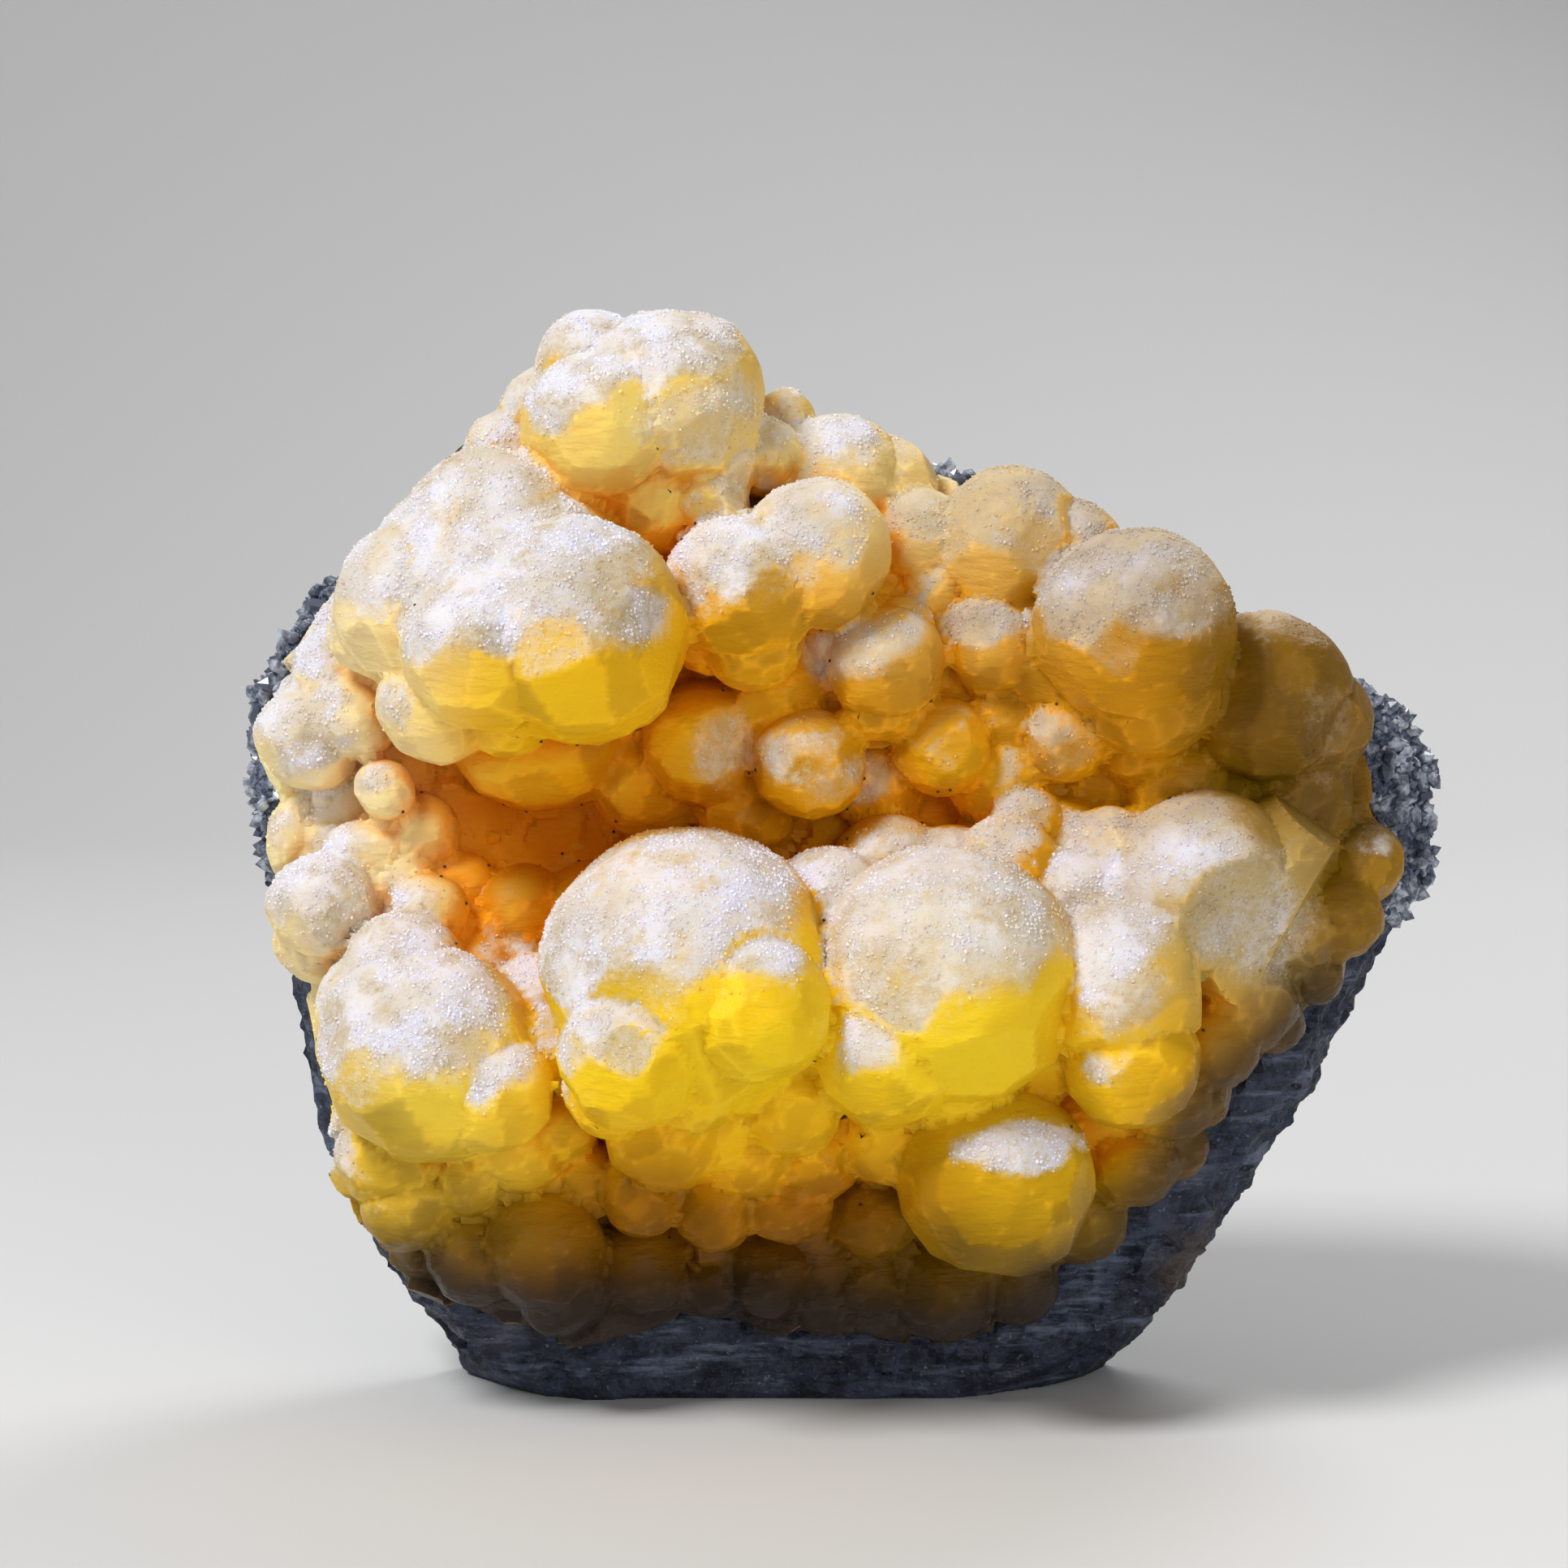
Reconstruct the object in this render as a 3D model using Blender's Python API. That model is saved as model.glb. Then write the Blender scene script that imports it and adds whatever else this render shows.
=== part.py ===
"""Spherical yellow fluorite grown over a slab of grey quartz, resting upright on its flat foot.

Two solids: the quartz matrix at the back and below, and the fluorite crust in front of it.
The crust is one solid, because its spheres grew into each other.

Axes: +X to the right as seen from the front, +Y away from the viewer, +Z up. The origin is on
the flat foot. Sizes in this file are millimetres; the objects are made in metres.
"""

import math

import bmesh
import bpy
from mathutils import Matrix, Vector, noise

MM = 0.001

# The spheres and outlines below are given as they are seen by an eye straight in front:
# across from the middle, up from the foot, and how far out towards the eye.
EYE_DISTANCE = 362.0
EYE_ELEVATION = math.radians(5.0)
SIGHT_POINT = (-5.25, 56.9)  # across and up of the point that the eye looks at
STANDING_SHIFT = (-0.33, 2.55, 0.0)  # puts the middle of the whole over the origin

BED_SHARES = (0.16, 0.32, 0.48, 0.62, 0.76, 0.9)  # rings of the bed, as shares of its edge
# Rises and hollows of the bed: middle across and up, reach across and up, height.
HOLLOW_PLACE = (-27, 52, 11, 7, -6)
BED_SWELLINGS = (
    (6, 68, 20, 11, 5.5),
    (30, 64, 12, 10, 3.5),
    (14, 46, 26, 6, 5.0),
    (-6, 40, 14, 8, 3.0),
    (-6, 25, 24, 7, 6.5),
    (24, 27, 10, 8, 4.5),
    (-4, 12, 32, 5, 3.0),
    (-16, 84, 11, 8, 4.0),
    (-44, 50, 7, 14, 2.5),
    (-37, 26, 9, 12, 4.5),
    (32, 32, 9, 9, 3.0),
    (-36, 46, 7, 6, 3.0),
    (4, 56.5, 18, 3, -1.5),
)
BED_BACK = 7.0  # how deep in the matrix the bed's hidden back lies
BACK_RINGS = ((0.98, 15), (0.92, 20), (0.82, 25), (0.68, 29), (0.45, 31))  # share, depth
CRUST_BED = 4.0  # least thickness of the crust between its spheres
GAP = 0.35  # clearance kept between the two solids

RING_POINTS = 60  # corners of each ring of the matrix
CENTRE = (0.0, 45.0)  # the middle of the outlines, across and up
BACK_CENTRE = (0.0, 22.0)  # the matrix narrows towards this point at the back

FINE_SPHERE_RADIUS = 6.0  # spheres larger than this are made finer
FACETS = 11  # flat growth faces under each sphere
FACET_LOWEST = math.radians(-85)
FACET_HIGHEST = math.radians(6)
FACET_TURN = math.radians(137.5)  # from one growth face to the next
FACET_REACH = (0.925, 0.02)  # distance from the sphere's middle, and how much it varies
FUSE_STEP = 0.65  # fineness at which the spheres and the bed are fused
CRUST_DETAIL = 0.034  # share of its triangles that the fused crust keeps
WARP_LONG = (0.5, 13.0)  # height and wavelength of the spheres' slight unevenness
WARP_SHORT = (0.22, 5.0)
QUARTZ_ROUGH = (1.0, 9.0)  # the same of the matrix's broken surface
NOISE_STARTS = (Vector((0, 0, 0)), Vector((37.1, 5.3, 11.9)), Vector((8.7, 61.3, 23.5)))

# Where the crust ends on the matrix, clockwise from the upper left: across, up.
CRUST_EDGE = (
    (-48.5, 72.5), (-45, 77), (-40.5, 82), (-35, 87), (-31, 90), (-25, 92), (-18, 93), (-10, 91),
    (-4, 88.5), (2, 86), (8, 85), (12, 84), (18, 81), (25, 78), (33, 74), (40, 68), (46.5, 65.5),
    (48.5, 61), (49.5, 55), (51, 49), (49, 44.5), (45, 40), (42, 37), (39, 32.5), (36, 28.5),
    (32, 23.5), (28, 19.5), (23, 15), (19, 11), (16.5, 7.5), (13.5, 6), (9, 5), (6, 6), (2, 6),
    (-3, 5.5), (-7, 6), (-11, 7.5), (-16, 7.5), (-21, 5.5), (-27, 6), (-31, 7.5), (-36.5, 8.5),
    (-39.5, 11), (-41.5, 13.5), (-45, 17), (-46.7, 21), (-47, 27), (-48.5, 33), (-49.5, 38),
    (-51, 45), (-51.5, 51), (-52, 55), (-53.5, 58), (-54, 61.5), (-53, 65), (-51, 69),
)
# The matrix's widest outline, in the same order.
QUARTZ_OUTLINE = (
    (-47, 76), (-44, 78.5), (-40, 83), (-34.5, 89.5), (-31, 92.5), (-25, 94), (-18, 95),
    (-10, 93), (-4, 90), (2, 87.5), (8, 86.5), (10, 85.2), (12, 85.6), (18, 83), (25, 80), (33, 76),
    (40, 70), (47.5, 66.8), (49, 66), (51, 65), (53, 63.5), (54.8, 60), (55, 56), (55.3, 53.5),
    (54.5, 50), (53, 47.5), (51, 44.5), (49, 40), (47, 35.5), (45, 31.5), (43, 28), (40, 24),
    (38, 20.5), (35, 16), (33, 13), (30, 9), (28, 6.5), (26, 4), (22, 1.8), (18, 0.2), (14, -1.4),
    (11, -3), (5, -3), (-5, -3), (-18, -3), (-26, -3), (-30, -0.6), (-34, 2), (-36.5, 4),
    (-38.2, 7.2), (-40, 10), (-42.6, 13), (-45, 16.8), (-46.6, 20.5), (-47.7, 24.5),
    (-49.2, 29), (-50.3, 34.5), (-51, 40), (-52, 47), (-53, 52), (-54.6, 55), (-55.1, 60.5),
    (-54.6, 64.5), (-53.8, 67.3), (-52, 69.5), (-50, 72.2),
)

# Planes along which the matrix broke off at its back: a point of each, and where it faces.
FRACTURES = (
    ((0, 25.5, 45), (0.08, 1, 0.06)),
    ((34, 20, 62), (0.7, 1, 0.15)),
    ((-36, 20, 64), (-0.75, 1, 0.3)),
    ((-34, 19, 20), (-0.55, 0.9, -0.4)),
    ((27, 20, 17), (0.5, 0.9, -0.55)),
    ((0, 19, 84), (0.1, 0.8, 1)),
    ((48, 16, 40), (1, 0.75, -0.35)),
)

# The spheres of the crust, by where they sit: across, up, out, radius. A sphere that is longer
# in one direction has three more numbers, its stretch across, up and out.
CROWN = (
    (-22.8, 95.3, 8, 5.5),
    (-15.7, 91.8, 11, 9.2),
    (-22.4, 89.8, 15, 7.1),
    (-27.0, 90.6, 7, 4.9),
    (-30.3, 87.0, 7, 4.8),
    (-5.2, 90.6, 4, 2.8),
    (0.0, 85.0, 6, 6.3),
    (4.2, 84.3, 5, 4.9),
    (-11.3, 86.6, 11, 4.3),
    (-12.2, 82.2, 12, 3.8),
    (-7.3, 87.0, 9, 4.0),
    (-18.0, 82.3, 11, 5.2),
    (-13.0, 79.2, 9, 4.8),
    (-3.5, 86.0, 5, 4.5),
)
GREAT_LEFT = (
    (-31.5, 73.4, 12.5, 13.3),
    (-32.3, 79.4, 15, 8.7),
    (-38.7, 73.4, 15, 8.2),
    (-25.0, 70.6, 20.5, 10.9),
    (-32.6, 69.3, 22, 8.4),
    (-42.4, 71.4, 12, 5.0),
    (-27.5, 63.6, 20, 2.9),
    (-23.3, 63.8, 18, 3.2),
    (-37.0, 64.2, 16, 5.9),
    (-30.8, 63.4, 17, 4.4),
    (-20.0, 66.0, 18, 4.6),
)
MIDDLE = (
    (-2.4, 77.9, 15, 7.3),
    (-9.2, 74.6, 16, 7.1),
    (-8.4, 70.0, 15, 4.9),
    (-12.4, 70.5, 13, 4.0),
    (7.2, 79.5, 8, 4.8),
    (8.4, 75.0, 8, 4.0),
    (4.2, 67.9, 13, 5.6),
    (3.6, 64.3, 12, 3.8),
    (5.6, 71.3, 11, 3.4),
    (9.3, 60.2, 10, 4.7),
    (-2.7, 58.6, 12, 5.3),
    (-12.4, 60.4, 8, 6.0),
    (-1.0, 66.0, 6, 5.0),
    (14.3, 70.1, 10, 5.0),
    (14.6, 62.5, 6, 5.2),
    (3.5, 57.0, 6, 4.6),
)
RIGHT = (
    (15.8, 78.9, 9, 7.3),
    (20.6, 77.8, 8, 6.0),
    (27.2, 71.2, 15, 9.3),
    (28.6, 65.4, 13, 6.4),
    (28.0, 60.5, 9, 4.0),
    (21.0, 61.3, 10, 4.3),
    (39.3, 64.5, 7, 8.3),
    (43.2, 62.5, 6, 6.2),
    (42.0, 56.0, 4, 6.0),
    (36.0, 57.5, 4, 5.0),
)
SHELF = (
    (-13.9, 38.9, 17, 14.1),
    (-19.6, 31.7, 24, 7.0),
    (-7.8, 36.0, 25, 7.2),
    (9.9, 38.8, 18, 12.3),
    (4.4, 31.7, 21, 7.1),
    (26.0, 37.8, 17, 8.0),
    (27.0, 31.1, 17, 6.5),
    (18.6, 32.2, 13, 4.8),
    (-1.0, 44.6, 13, 6.4),
    (10.5, 47.0, 9, 6.2),
    (21.5, 45.5, 11, 6.2),
    (31.5, 51.8, 8, 4.8),
    (21.0, 51.6, 7, 4.6),
    (4.5, 48.4, 9, 5.8),
    (15.5, 49.4, 12, 4.8),
    (17.0, 53.0, 9, 4.0),
    (25.0, 50.4, 10, 4.8),
    (28.5, 46.0, 12, 6.0),
    (46.4, 44.7, 5, 4.0),
    (42.0, 43.5, 6, 4.2),
    (48.4, 49.6, 3, 4.0),
)
# The block at the shelf's right end, and its flat faces: a point of each, and where it faces.
BLOCK = (
    (33.5, 47.5, 12, 9.0),
    (41.0, 48.8, 10, 7.2),
    (38.0, 42.8, 11, 7.2),
)
BLOCK_FACES = (
    ((46.2, 51.4, 8), (0.86, -0.20, -0.47)),
    ((43.5, 53.8, 8), (0.58, -0.15, 0.80)),
    ((37.5, 46.0, 17.5), (0.40, -0.85, -0.33)),
)
LEFT_EDGE = (
    (-49.0, 61.2, 6, 5.2),
    (-44.4, 63.2, 8, 4.2),
    (-42.2, 56.3, 9, 2.9),
    (-46.6, 67.0, 5, 4.4),
    (-50.6, 51.6, 3, 3.0, 0.8, 1.3, 1.0),
    (-44.2, 50.8, 7, 3.2, 1.2, 0.85, 1.0),
    (-47.7, 45.2, 9, 5.2),
    (-48.3, 42.0, 7, 4.0),
    (-38.0, 45.0, 9, 3.8),
    (-32.7, 43.0, 7, 1.8),
    (-29.2, 40.6, 6, 2.8),
    (-40.2, 39.0, 13, 6.0),
    (-41.0, 47.6, 5, 4.6),
    (-36.0, 46.4, 3, 4.6),
    (-34.0, 39.0, 6, 5.0),
    (-27.6, 37.0, 11, 4.4),
    (-26.6, 32.6, 14, 4.2),
    (-38.1, 31.8, 15, 10.3),
    (-32.6, 28.6, 18, 6.0),
    (-43.0, 35.2, 13, 6.0),
    (-41.4, 22.2, 9, 5.2),
    (-40.0, 17.6, 9, 4.4),
    (-34.4, 20.4, 10, 3.8),
)
UNDER_SHELF = (
    (14.3, 20.1, 15, 9.2),
    (-16.5, 25.4, 16, 6.3),
    (-21.5, 28.6, 20, 4.6),
    (-13.4, 29.6, 21, 5.0),
    (10.5, 28.8, 17, 4.8),
    (4.0, 28.4, 16, 3.9),
    (-12.0, 25.6, 15, 4.6),
    (-25.7, 25.2, 11, 3.6),
    (-30.0, 23.6, 10, 5.2),
    (-8.4, 23.2, 12, 5.2),
    (4.2, 24.8, 12, 5.0),
    (30.4, 28.2, 9, 4.8),
    (37.0, 36.6, 8, 5.2),
    (-23.6, 20.6, 9, 3.4),
    (-4.4, 27.0, 17, 4.7),
    (-2.3, 22.2, 12, 4.2),
    (3.0, 22.6, 9, 2.7),
    (2.9, 17.0, 6, 4.4),
    (-18.2, 19.1, 11, 4.2),
    (-11.2, 17.7, 11, 4.1),
    (-4.8, 18.3, 11, 4.1),
    (34.5, 32.4, 10, 4.2),
    (33.0, 27.8, 9, 3.2),
    (27.2, 21.4, 7, 4.1),
    (39.6, 35.0, 5, 3.2),
    (43.2, 40.0, 4, 3.5),
)
LOWER_BAND = (
    (-27.6, 14.0, 9, 6.0),
    (-33.6, 13.2, 7, 5.0),
    (-25.4, 10.2, 7, 4.6),
    (-18.6, 12.4, 5, 5.0),
    (-12.0, 10.6, 4, 3.4),
    (-6.6, 11.6, 4, 4.8),
    (-1.6, 8.6, 4, 2.8),
    (2.8, 11.2, 4, 3.9),
    (9.4, 10.6, 3, 5.4),
    (16.6, 10.6, 3, 3.8),
    (22.6, 16.8, 3, 4.4),
    (30.6, 23.4, 4, 3.6),
)
HOLLOW = (
    (-27.0, 60.4, 5, 6.4, 1.45, 1.0, 1.0),
    (-29.4, 44.6, 4, 4.8),
    (-39.2, 52.4, 5, 3.8),
    (-17.6, 57.0, 4, 5.6),
    (-9.0, 54.2, 6, 4.6),
    (14.5, 57.6, 6, 5.4),
    (30.6, 56.8, 7, 4.8),
    (0.5, 72.0, 8, 6.0),
    (20.5, 68.5, 8, 6.4),
    (14.0, 74.5, 6, 6.0),
    (24.0, 57.5, 4, 5.0),
    (-6.0, 64.5, 8, 5.6),
    (-22.0, 44.0, 4, 6.0),
)
SPHERES = (
    CROWN + GREAT_LEFT + MIDDLE + RIGHT + SHELF + BLOCK + LEFT_EDGE + UNDER_SHELF + LOWER_BAND
    + HOLLOW
)

# Quartz crystals on the matrix: across, up, out of the foot of each, length, width, the
# direction it points in and how far it leans out.
CRYSTALS = (
    (50.6, 62.6, -3, 3.4, 2.4, 60, 65),
    (51.8, 60.0, -3, 3.6, 2.6, 20, 70),
    (52.2, 57.0, -3, 3.4, 2.2, -20, 65),
    (52.4, 54.0, -3, 3.8, 2.6, 15, 65),
    (52.0, 51.0, -3, 3.4, 2.4, -30, 70),
    (49.8, 59.2, -2, 3.2, 2.2, 120, 75),
    (9.4, 82.6, -2, 4.4, 3.0, 95, 35),
    (4.6, 4.0, 0, 4.0, 2.2, 88, 30),
)

QUARTZ_COLOUR = (0.30, 0.33, 0.40, 1)
FLUORITE_COLOUR = (0.86, 0.55, 0.08, 1)


def seen_at(across, up, out):
    """The point, in millimetres, that the eye sees there and that far out from the sight plane."""
    nearer = (EYE_DISTANCE - out) / EYE_DISTANCE
    sideways = (across - SIGHT_POINT[0]) * nearer
    upward = (up - SIGHT_POINT[1]) * nearer
    sine, cosine = math.sin(EYE_ELEVATION), math.cos(EYE_ELEVATION)
    return Vector((
        SIGHT_POINT[0] + sideways,
        upward * sine - out * cosine,
        SIGHT_POINT[1] + upward * cosine + out * sine,
    ))


def swelling(across, up, place):
    """A rounded rise or hollow: its middle across and up, its reach across and up, its height."""
    middle_across, middle_up, reach_across, reach_up, height = place
    sideways = (across - middle_across) / reach_across
    upward = (up - middle_up) / reach_up
    return height * math.exp(-sideways ** 2 - upward ** 2)


def quartz_depth(across, up):
    """How far behind the sight plane the matrix's front lies, with one hollow at the left."""
    return -swelling(across, up, HOLLOW_PLACE)


def bed_depth(across, up):
    """How far behind the sight plane the crust's bed lies: it swells between the spheres."""
    swell = sum(swelling(across, up, place) for place in BED_SWELLINGS)
    return quartz_depth(across, up) - CRUST_BED - swell


def reach(outline):
    """The distance from CENTRE to an outline in each direction of a ring."""
    pairs = sorted(
        (math.atan2(up - CENTRE[1], across - CENTRE[0]),
         math.hypot(across - CENTRE[0], up - CENTRE[1]))
        for across, up in outline
    )
    first, last = pairs[0], pairs[-1]
    pairs = [(last[0] - math.tau, last[1])] + pairs + [(first[0] + math.tau, first[1])]
    distances = []
    for angle in ring_angles():
        for (a0, r0), (a1, r1) in zip(pairs, pairs[1:]):
            if a0 <= angle <= a1:
                distances.append(r0 + (r1 - r0) * (angle - a0) / (a1 - a0))
                break
    return distances


def ring_angles():
    return [math.tau * (i + 0.5) / RING_POINTS - math.pi for i in range(RING_POINTS)]


def ring(distances, share, depth_at, rough, narrows_to=CENTRE):
    """One closed ring of points: a share of the way from the point that it narrows to out to
    the outline at those distances from CENTRE, and a depth behind the sight plane."""
    points = []
    for angle, distance in zip(ring_angles(), distances):
        across = CENTRE[0] + distance * math.cos(angle)
        up = CENTRE[1] + distance * math.sin(angle)
        across = narrows_to[0] + share * (across - narrows_to[0])
        up = narrows_to[1] + share * (up - narrows_to[1])
        points.append(broken(seen_at(across, up, -depth_at(across, up)), rough))
    return points


def uneven(point, height, wavelength):
    """The point moved up to about height, in a direction that drifts over the wavelength."""
    place = point / wavelength
    return point + height * Vector([noise.noise(place + start) for start in NOISE_STARTS])


def broken(point, rough):
    """The point moved as on a broken rock face."""
    height, wavelength = QUARTZ_ROUGH
    return uneven(point, rough * height, wavelength)


def warped(point):
    """The point moved by the slight unevenness that all of the crust shares."""
    for height, wavelength in (WARP_LONG, WARP_SHORT):
        point = uneven(point, height, wavelength)
    return point


def lofted(name, rings, start, end):
    """A closed mesh object through rings of points, pointed at both ends."""
    mesh = bmesh.new()
    corners = [[mesh.verts.new(point) for point in points] for points in rings]
    first_tip = mesh.verts.new(start)
    last_tip = mesh.verts.new(end)
    for near, far in zip(corners, corners[1:]):
        for i, j in neighbours():
            mesh.faces.new((near[i], near[j], far[j]))
            mesh.faces.new((near[i], far[j], far[i]))
    for i, j in neighbours():
        mesh.faces.new((corners[0][j], corners[0][i], first_tip))
        mesh.faces.new((corners[-1][i], corners[-1][j], last_tip))
    bmesh.ops.recalc_face_normals(mesh, faces=mesh.faces)
    return object_of(name, mesh)


def neighbours():
    return [(i, (i + 1) % RING_POINTS) for i in range(RING_POINTS)]


def object_of(name, mesh):
    data = bpy.data.meshes.new(name)
    mesh.to_mesh(data)
    mesh.free()
    made = bpy.data.objects.new(name, data)
    bpy.context.collection.objects.link(made)
    return made


def quartz_slab(name):
    """The matrix before its foot is cut: a shallow bowl in front, rounded off at the back."""
    edge = reach(CRUST_EDGE)
    wide = reach(QUARTZ_OUTLINE)
    between = [0.35 * e + 0.65 * w for e, w in zip(edge, wide)]
    rings = [ring(edge, share, quartz_depth, 0.3) for share in BED_SHARES]
    rings.append(ring(edge, 1.0, lambda a, u: -1.5, 0.3))
    rings.append(ring(between, 1.0, lambda a, u: 0.8, 0.8))
    rings.append(ring(wide, 0.99, lambda a, u: 6.0, 0.8))
    rings.append(ring(wide, 1.0, lambda a, u: 10.5, 0.8))
    for share, depth in BACK_RINGS:
        rings.append(ring(wide, share, lambda a, u, d=depth: d, 1.0, BACK_CENTRE))
    front = seen_at(*CENTRE, -quartz_depth(*CENTRE))
    back = seen_at(*BACK_CENTRE, -BACK_RINGS[-1][1])
    slab = lofted(name, rings, front, back)
    for place, facing in FRACTURES:
        break_off(slab, place, facing)
    return slab


def break_off(made, place, facing):
    """Breaks a shape along a plane through a place, and closes it with a flat face."""
    mesh = bmesh.new()
    mesh.from_mesh(made.data)
    geometry = mesh.verts[:] + mesh.edges[:] + mesh.faces[:]
    bmesh.ops.bisect_plane(
        mesh, geom=geometry, plane_co=place, plane_no=facing, clear_outer=True, dist=0.01
    )
    rim = [edge for edge in mesh.edges if edge.is_boundary]
    bmesh.ops.holes_fill(mesh, edges=rim, sides=0)
    mesh.to_mesh(made.data)
    mesh.free()


def crust_shape(name):
    """The layer that the spheres stand on, with the spheres. The layer's back lies inside the
    matrix, which cuts it off."""
    edge = reach(CRUST_EDGE)
    rings = [ring(edge, share, bed_depth, 0.3) for share in BED_SHARES]
    rings.append(ring(edge, 1.0, lambda a, u: -CRUST_BED, 0.0))
    rings.append(ring(edge, 0.97, lambda a, u: 5.0, 0.0))
    rings.append(ring(edge, 0.5, lambda a, u: BED_BACK, 0.0))
    made = lofted(name, rings, seen_at(*CENTRE, -bed_depth(*CENTRE)), seen_at(*CENTRE, -BED_BACK))
    mesh = bmesh.new()
    mesh.from_mesh(made.data)
    for number, row in enumerate(SPHERES):
        add_sphere(mesh, number, *row)
    mesh.to_mesh(made.data)
    mesh.free()
    return made


def crystal(name, across, up, out, length, width, turn, lean):
    """A six-sided quartz crystal with a pointed tip. turn is its direction in the sight plane,
    counted from straight right, and lean tips it towards the eye, both in degrees."""
    mesh = bmesh.new()
    shaft = 0.62 * length
    bmesh.ops.create_cone(
        mesh, cap_ends=True, segments=6, radius1=width / 2, radius2=width / 2, depth=shaft,
        matrix=Matrix.Translation((0, 0, shaft / 2)),
    )
    top = max(mesh.faces, key=lambda face: face.calc_center_median().z)
    tip = bmesh.ops.poke(mesh, faces=[top])["verts"][0]
    tip.co.z = length
    away = Vector((
        math.cos(math.radians(turn)) * math.cos(math.radians(lean)),
        -math.sin(math.radians(lean)),
        math.sin(math.radians(turn)) * math.cos(math.radians(lean)),
    ))
    pose = away.to_track_quat("Z", "X").to_matrix().to_4x4()
    mesh.transform(Matrix.Translation(seen_at(across, up, out)) @ pose)
    return object_of(name, mesh)


def facet_planes(number):
    """The flat growth faces under one sphere: where each faces, and its distance from the
    middle as a share of the radius. Every sphere has its own set."""
    planes = []
    for k in range(FACETS):
        lift = FACET_LOWEST + (FACET_HIGHEST - FACET_LOWEST) * (k + 0.5) / FACETS
        turn = FACET_TURN * (k + 3 * number)
        flat = math.cos(lift)
        facing = Vector((flat * math.cos(turn), flat * math.sin(turn), math.sin(lift)))
        distance, varies = FACET_REACH
        planes.append((facing, distance + varies * math.sin(1.7 * number + 2.3 * k)))
    return planes


def faceted(direction, planes):
    """How far the sphere reaches in a direction, as a share of its radius."""
    share = 1.0
    for facing, distance in planes:
        along = direction.dot(facing)
        if along > distance:
            share = min(share, distance / along)
    return share


def flattened(point):
    """The point, brought down onto the block's flat faces where it lies beyond them."""
    for place, facing in BLOCK_FACES:
        outward = Vector(facing).normalized()
        beyond = (point - seen_at(*place)).dot(outward)
        if beyond > 0:
            point = point - beyond * outward
    return point


def add_sphere(mesh, number, across, up, out, radius, *stretch):
    """One sphere of the crust, at its place and size as seen, with its growth faces."""
    apparent = radius * (EYE_DISTANCE - out) / EYE_DISTANCE
    fineness = 4 if radius > FINE_SPHERE_RADIUS else 3
    made = bmesh.ops.create_icosphere(mesh, subdivisions=fineness, radius=1.0)["verts"]
    planes = facet_planes(number)
    middle = seen_at(across, up, out)
    wide, high, deep = stretch or (1.0, 1.0, 1.0)
    for vertex in made:
        reached = vertex.co * apparent * faceted(vertex.co, planes)
        point = middle + Vector((reached.x * wide, reached.y * deep, reached.z * high))
        if SPHERES[number] in BLOCK:
            point = flattened(point)
        vertex.co = warped(point)


def grown(made, name):
    """A copy of a mesh object with its whole surface moved outwards by GAP."""
    mesh = bmesh.new()
    mesh.from_mesh(made.data)
    mesh.normal_update()
    for vertex in mesh.verts:
        vertex.co += vertex.normal * GAP * min(vertex.calc_shell_factor(), 2.0)
    return object_of(name, mesh)


def as_guides(name, guides):
    """Puts helper objects in a collection of their own, drawn as wires and left out of renders."""
    group = bpy.data.collections.new(name)
    bpy.context.scene.collection.children.link(group)
    for guide in guides:
        bpy.context.collection.objects.unlink(guide)
        group.objects.link(guide)
        guide.hide_render = True
        guide.display_type = "WIRE"
    return group


def boolean(made, label, operation, other):
    """Adds an exact Boolean with another object, or with all the objects of a collection."""
    modifier = made.modifiers.new(label, "BOOLEAN")
    modifier.solver = "EXACT"
    modifier.operation = operation
    if isinstance(other, bpy.types.Collection):
        modifier.operand_type = "COLLECTION"
        modifier.collection = other
    else:
        modifier.object = other


def stand(made):
    """Moves a finished shape over the origin and turns its millimetres into metres."""
    made.data.transform(Matrix.Scale(MM, 4) @ Matrix.Translation(STANDING_SHIFT))


def material(name, colour, roughness):
    made = bpy.data.materials.new(name)
    made.use_nodes = True
    shader = made.node_tree.nodes["Principled BSDF"]
    shader.inputs["Base Color"].default_value = colour
    shader.inputs["Roughness"].default_value = roughness
    shader.inputs["Metallic"].default_value = 0.0
    return made


def foot_block():
    """Everything below the foot's plane, to be cut away."""
    mesh = bmesh.new()
    bmesh.ops.create_cube(mesh, size=1.0)
    bmesh.ops.scale(mesh, vec=(160, 120, 20), verts=mesh.verts)
    bmesh.ops.translate(mesh, vec=(0, 0, -10), verts=mesh.verts)
    return object_of("foot_block", mesh)


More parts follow.
